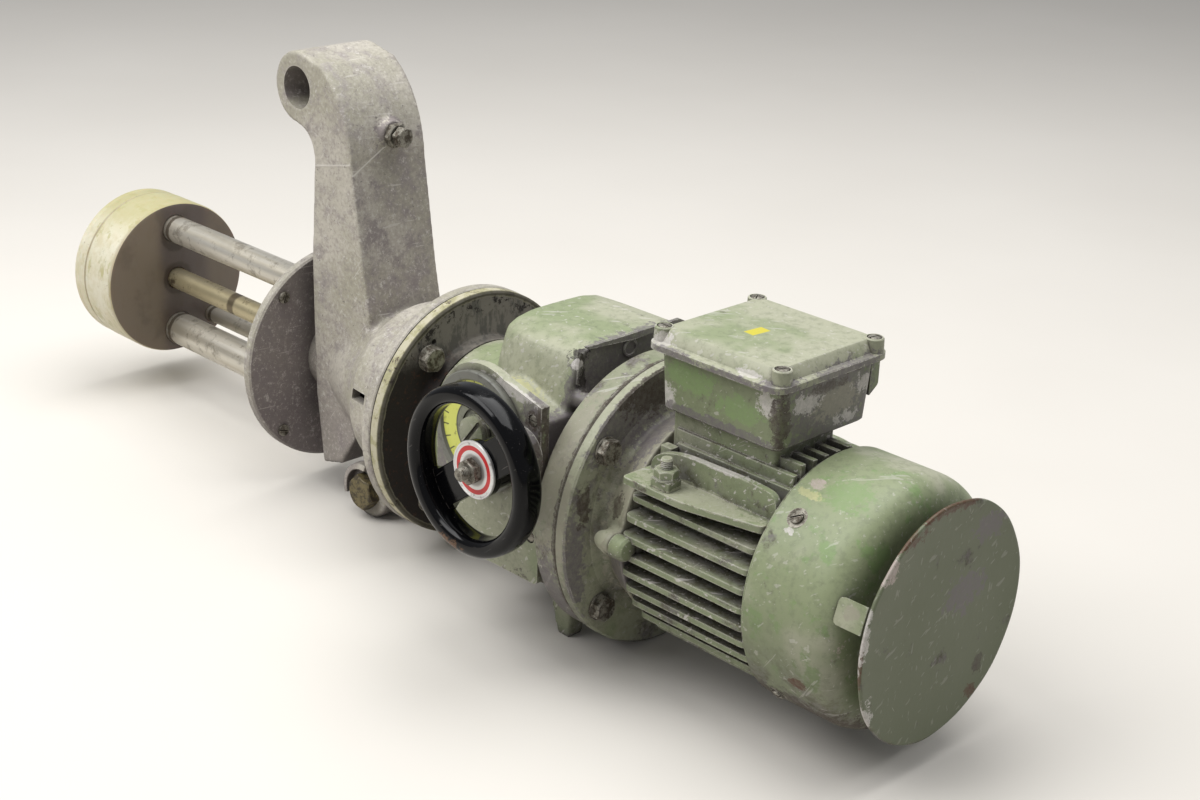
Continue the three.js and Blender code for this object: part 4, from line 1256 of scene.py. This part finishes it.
def shieldBody(bm):
    cone = [(-138, 0), (-138, 80), (-136, 78), (-134, 70.5), (-131, 67.6), (-116, 73), (-111.5, 75)]
    addLathe(bm, [*cone, (-110, 75), (-110, 0)], steps=96)
    tip = [(-127, 0), (-126.6, 3), (-125, 5), (-120, 7), (-116, 8), (-110, 8), (-110, 0)]
    root = [(-128, 0), (-126, 4), (-119, 7), (-110, 7.5), (-110, 0)]
    for y, z in tieLugs:
        addLathe(bm, tip, "X", (y, z), rodSteps)
        addLathe(bm, root, "X", (0.9 * y, 0.9 * z), rodSteps)


def shieldFlange(bm):
    addLathe(bm, [(-144.7, 0), (-144.7, 99.6), (-143.6, 100.8), (-137.2, 100.8), (-136, 99.6), (-136, 0)])


makePiece("shieldBody", shieldBody, shieldPaint, melt=1.5, nodes=["motor_end_shield"], sharp=60)
makePiece("shieldFlange", shieldFlange, shieldPaint, boltHoles(motorBolt, -146, -135))
flangeBolts("motorBolt", "motor_bolt", motorBolt)
print("end shield made")

# Stator housing
stator = {"from": -109.7, "to": -3, "core": 63}
fins = {"count": 9, "first": 34, "pitch": 12.5, "thickness": 4.2, "reach": 78}
pad = {"y": -9.5, "from": -106, "to": -20, "halfWidth": 30.5}


def statorBody(bm):
    low, high, core = stator["from"], stator["to"], stator["core"]
    addLathe(bm, [(low, 0), (low, core - 1), (low + 1, core), (-2, core), (-2, 0)])
    addLathe(bm, [(-3.5, 0), (-3.5, 79.6), (-3, 80.2), (7.4, 80.2), (8, 79.6), (8, 0)])
    for i in range(fins["count"]):
        z = fins["first"] - i * fins["pitch"]
        reach = math.sqrt(fins["reach"] ** 2 - z ** 2)
        fin = rounded(rectangle((low, high), (-reach, reach)), 7)
        addPrism(bm, fin, *around(z, fins["thickness"] / 2), "Z")
    shelf = [(low, -78), (-60, -78), (high, -66), (high, 66), (-60, 78), (low, 78)]
    addPrism(bm, rounded(shelf, 4), 45.5, 50.5, "Z")
    for side, drop in ((-1, 0), (1, 7)):
        crest = [(x, z - drop) for x, z in ((-107, 57), (-98, 64), (-80, 68), (-25, 69), (-3, 67))]
        addPrism(bm, rounded([(-107, 46), *crest, (-3, 46)], 9), side * 52 - 2.5, side * 52 + 2.5)
        addPrism(bm, rounded(rectangle((-104, -94), around(side * 46.5, 3.5)), 1.5), 47, 66, "Z")
    for i in range(5):
        addPrism(bm, rectangle((-101, high), around(pad["y"] + (i - 2) * 11, 2)), 40, 81.5, "Z")
    base = rounded(rectangle((pad["from"], pad["to"]), around(pad["y"], pad["halfWidth"] - 2)), 5)
    addPrism(bm, base, 44, 88.7, "Z")
    for side in (-1, 1):
        for start, middle, half, top in ((-100, 28.5, 2, 76), (-96, 30.5, 3, 68)):
            wall = rounded(rectangle((start, high), around(pad["y"] + side * middle, half)), 1.5)
            addPrism(bm, wall, 44, top, "Z")
    profile = [(low, 0), (low, 8), (-100.5, 8), (-98.6, 6.6), (-98, 4), (-98, 0)]
    for y, z in tieLugs:
        for scale in (1, 0.82):
            addLathe(bm, profile, "X", (scale * y, scale * z), rodSteps)


def earthStud(bm):
    x, y, floor = -80, -69, 50.8
    addPrism(bm, rounded(rectangle(around(x, 8), around(y, 6)), 1.5), floor, floor + 6, "Z")
    addLathe(bm, [(floor + 6, 0), (floor + 6, 8), (floor + 7.2, 8), (floor + 7.2, 0)], "Z", (x, y), rodSteps)
    addHexHead(bm, 14, floor + 7.2, floor + 12.8, "Z", (x, y), 0.3)
    addThread(bm, 4, floor + 12, floor + 19.4, 1.25, "Z", (x, y))


makePiece("statorFine", statorBody, finPaint, nodes=["stator_housing"], bevel=1.1)
makePiece("earthStudFine", earthStud, finPaint, nodes=["earth_stud"], sharp=25)
print("stator made")

# Terminal box
box = {
    "x": -60.8, "y": -3.2, "halfLength": 47.5, "halfWidth": 42.5,
    "bottom": 89, "top": 130, "wall": 4, "flare": 2,
}
lidSections = (
    (55, 53.5, 12, 130.3), (55, 53.5, 12, 134.2), (54.2, 52.7, 11.6, 134.8), (51.4, 49.4, 10, 134.9),
    (50.6, 48.6, 10, 135.4), (47.6, 45.6, 9, 142.6), (46.6, 44.6, 8.6, 143.4), (45.4, 43.4, 8, 143.5),
)
lidScrews = [(box["x"] + sx * 48, box["y"] + sy * 43.3) for sx, sy in ((-1, -1), (1, -1), (1, 1), (-1, 1))]


def boxSection(halfX, halfY, corner, z):
    outline = rounded(rectangle(around(box["x"], halfX), around(box["y"], halfY)), corner, 6)
    return [place("Z", (0, 0), z, x, y) for x, y in outline]


# up the flared outside and down the inside of the wall
def boxBody(bm):
    bottom, top, wall, flare = box["bottom"], box["top"], box["wall"], box["flare"]
    outside = [(-1.5, 5, bottom), (0, 6, bottom + 1.5), (flare, 6, top)]
    sections = [*outside, (flare - wall, 5, top), (-wall, 5, bottom + wall)]
    addRings(bm, [
        boxSection(box["halfLength"] + outward, box["halfWidth"] + outward, corner, z)
        for outward, corner, z in sections
    ])


def lidBody(bm):
    addRings(bm, [boxSection(*section) for section in lidSections])


def lidBosses(bm):
    profile = [(131, 4.7), (131, 6.6), (143.2, 6.2), (143.9, 5.6), (143.9, 4.9), (143.4, 4.7)]
    for centre in lidScrews:
        addLathe(bm, profile, "Z", centre, rodSteps, closed=True)


def cableChest(bm):
    low, high = box["x"] - 46.5, box["x"] + 46.5
    face = 41.6
    sections = [(104, face + 1), (105, face + 2.4), (109, face + 8), (110.5, face + 9), (130, face + 9)]
    addRings(bm, [
        [Vector((low, face, z)), Vector((high, face, z)), Vector((high, far, z)), Vector((low, far, z))]
        for z, far in sections
    ])


makePiece("terminalBox", boxBody, boxPaint, nodes=["terminal_box"], sharp=30)
lidHoles = [rod(4.75, 141.3, 150, "Z", centre, rodSteps) for centre in lidScrews]
makePiece("terminalLid", lidBody, lidPaint, lidHoles, nodes=["terminal_lid"], sharp=30)
makePiece("lidBosses", lidBosses, lidPaint, sharp=30)
for index, centre in enumerate(lidScrews):
    makePiece(
        f"lidScrew{index + 1}", lambda bm: addSlottedHead(bm, 4.1, 141.5, 144.2, "Z", centre, 0.7 * index),
        bolts, nodes=[f"lid_screw_{index + 1}"],
    )
makePiece("cableChest", cableChest, boxPaint, nodes=["cable_entry"], bevel=1.2, segments=3)
print("terminal box made")

# Fan cowl and rain canopy
cowl = {"radius": 83, "straight": 46, "end": 68, "rearRadius": 58, "wall": 2.5, "screwAngle": 43}


# from the end of the straight part round the corner to the rear face
def cowlProfile(inset, steps):
    outer, end = cowl["radius"] - inset, cowl["end"] - inset
    return [*curve((cowl["straight"], outer), (end, outer), (end, cowl["rearRadius"]), steps), (end, 0)]


def cowlBody(bm):
    # down the outside from the open rim and back along the inside
    radius, wall = cowl["radius"], cowl["wall"]
    outside = [(0, radius - 0.4), (0.4, radius), *cowlProfile(0, 14)]
    inside = [(0, radius - 2), (0, radius - wall), *cowlProfile(wall, 8)]
    addLathe(bm, [*reversed(inside), *outside])


def cowlScrews(bm):
    for quarter in quarterTurns:
        outward = Vector((0, *onCircle(1, cowl["screwAngle"] + quarter)))
        base = len(bm.verts)
        addSlottedHead(bm, 4.3, 0, 2.4, "Z", (0, 0), 0.6)
        addLathe(bm, [(0.1, 4.5), (0.1, 6.6), (0.5, 6.6), (0.5, 4.5)], "Z", (0, 0), rodSteps, closed=True)
        bm.verts.ensure_lookup_table()
        upright = outward.to_track_quat("Z", "Y").to_matrix()
        for vert in bm.verts[base:]:
            vert.co = upright @ vert.co + Vector((15, 0, 0)) + (cowl["radius"] - 0.4) * outward


def rainCanopy(bm):
    lip = [(84.5, 76.2), (83.7, 77.2), (83.9, 78.4), (84.8, 79), (85.8, 79), (86.5, 78.2), (86.5, 76.8)]
    addLathe(bm, [(84.5, 0), *lip, (86, 75), (86, 40), (86.1, 0)])
    # the edge is a little bent
    for vert in bm.verts:
        angle = math.atan2(vert.co.y, vert.co.z)
        wave = math.sin(3 * angle) + 0.5 * math.sin(7 * angle + 1) + 0.3 * math.sin(13 * angle)
        bend = 1 - 0.006 * (1.2 + wave)
        if math.hypot(vert.co.y, vert.co.z) > 60:
            vert.co.y *= bend
            vert.co.z *= bend


def canopyStrap(degrees):
    turn = Matrix.Rotation(math.radians(degrees), 3, "X")

    def fill(bm):
        side = rounded([(62.6, 77.2), (83.2, 77.3), (83.2, 78.9), (62.6, 78.8)], 0.4, 2)
        sections = [(-8.5, 3), (-7.6, 1), (-5.5, 0), (5.5, 0), (7.6, 1), (8.5, 3)]
        addRings(bm, [
            [turn @ Vector((max(x, 62.6 + short), y, z)) for x, z in side] for y, short in sections
        ])

    return fill


makePiece("fanCowl", cowlBody, cowlPaint, nodes=["fan_cowl"], sharp=40)
makePiece("cowlScrews", cowlScrews, bolts)
makePiece("rainCanopy", rainCanopy, canopyPaint, nodes=["rain_canopy"], sharp=50)
for index, degrees in enumerate((71, 251)):
    strap = canopyStrap(degrees)
    makePiece(f"canopyStrap{index + 1}", strap, strapPaint, nodes=[f"canopy_strap_{index + 1}"], sharp=40)
print("fan cowl and canopy made")

# Stage, light and camera
studio = {
    "world": ((0.80, 0.82, 0.86), 0.42),
    "aim": (0.05, 0, 0.12),
    "key": {"place": (-0.55, -1.15, 1.75), "size": 1.4, "power": 36},
    "top": {"place": (0.1, 0.35, 2.0), "size": 1.8, "power": 41},
}
view = {
    "place": (1.01957, -0.85797, 0.65550),
    "lookAt": (0.138046, 0.029605, 0.147929),
    "roll": 2.245,
    "lens": 58.80,
}

bm = bmesh.new()
bmesh.ops.create_grid(bm, x_segments=24, y_segments=24, size=6)
floorMesh = bpy.data.meshes.new("floor")
bm.to_mesh(floorMesh)
bm.free()
floor = bpy.data.objects.new("floor", floorMesh)
floor.data.materials.append(stageFloor())
bpy.context.collection.objects.link(floor)

scene = bpy.context.scene
scene.view_settings.view_transform = "Standard"
world = bpy.data.worlds.new("studio")
world.use_nodes = True
background = world.node_tree.nodes["Background"]
background.inputs["Color"].default_value = (*studio["world"][0], 1)
background.inputs["Strength"].default_value = studio["world"][1]
scene.world = world

for name in ("key", "top"):
    lamp = bpy.data.lights.new(name, "AREA")
    lamp.size = studio[name]["size"]
    lamp.energy = studio[name]["power"]
    holder = bpy.data.objects.new(name, lamp)
    holder.location = studio[name]["place"]
    holder.rotation_euler = (Vector(studio["aim"]) - holder.location).to_track_quat("-Z", "Y").to_euler()
    bpy.context.collection.objects.link(holder)

lens = bpy.data.cameras.new("camera")
lens.lens = view["lens"]
lens.sensor_width = 36
lens.clip_start = 0.01
camera = bpy.data.objects.new("camera", lens)
towards = Vector(view["lookAt"]) - Vector(view["place"])
turn = towards.to_track_quat("-Z", "Y").to_matrix() @ Matrix.Rotation(math.radians(view["roll"]), 3, "Z")
camera.matrix_world = Matrix.Translation(view["place"]) @ turn.to_4x4()
bpy.context.collection.objects.link(camera)
scene.camera = camera
print("stage, lights and camera made")
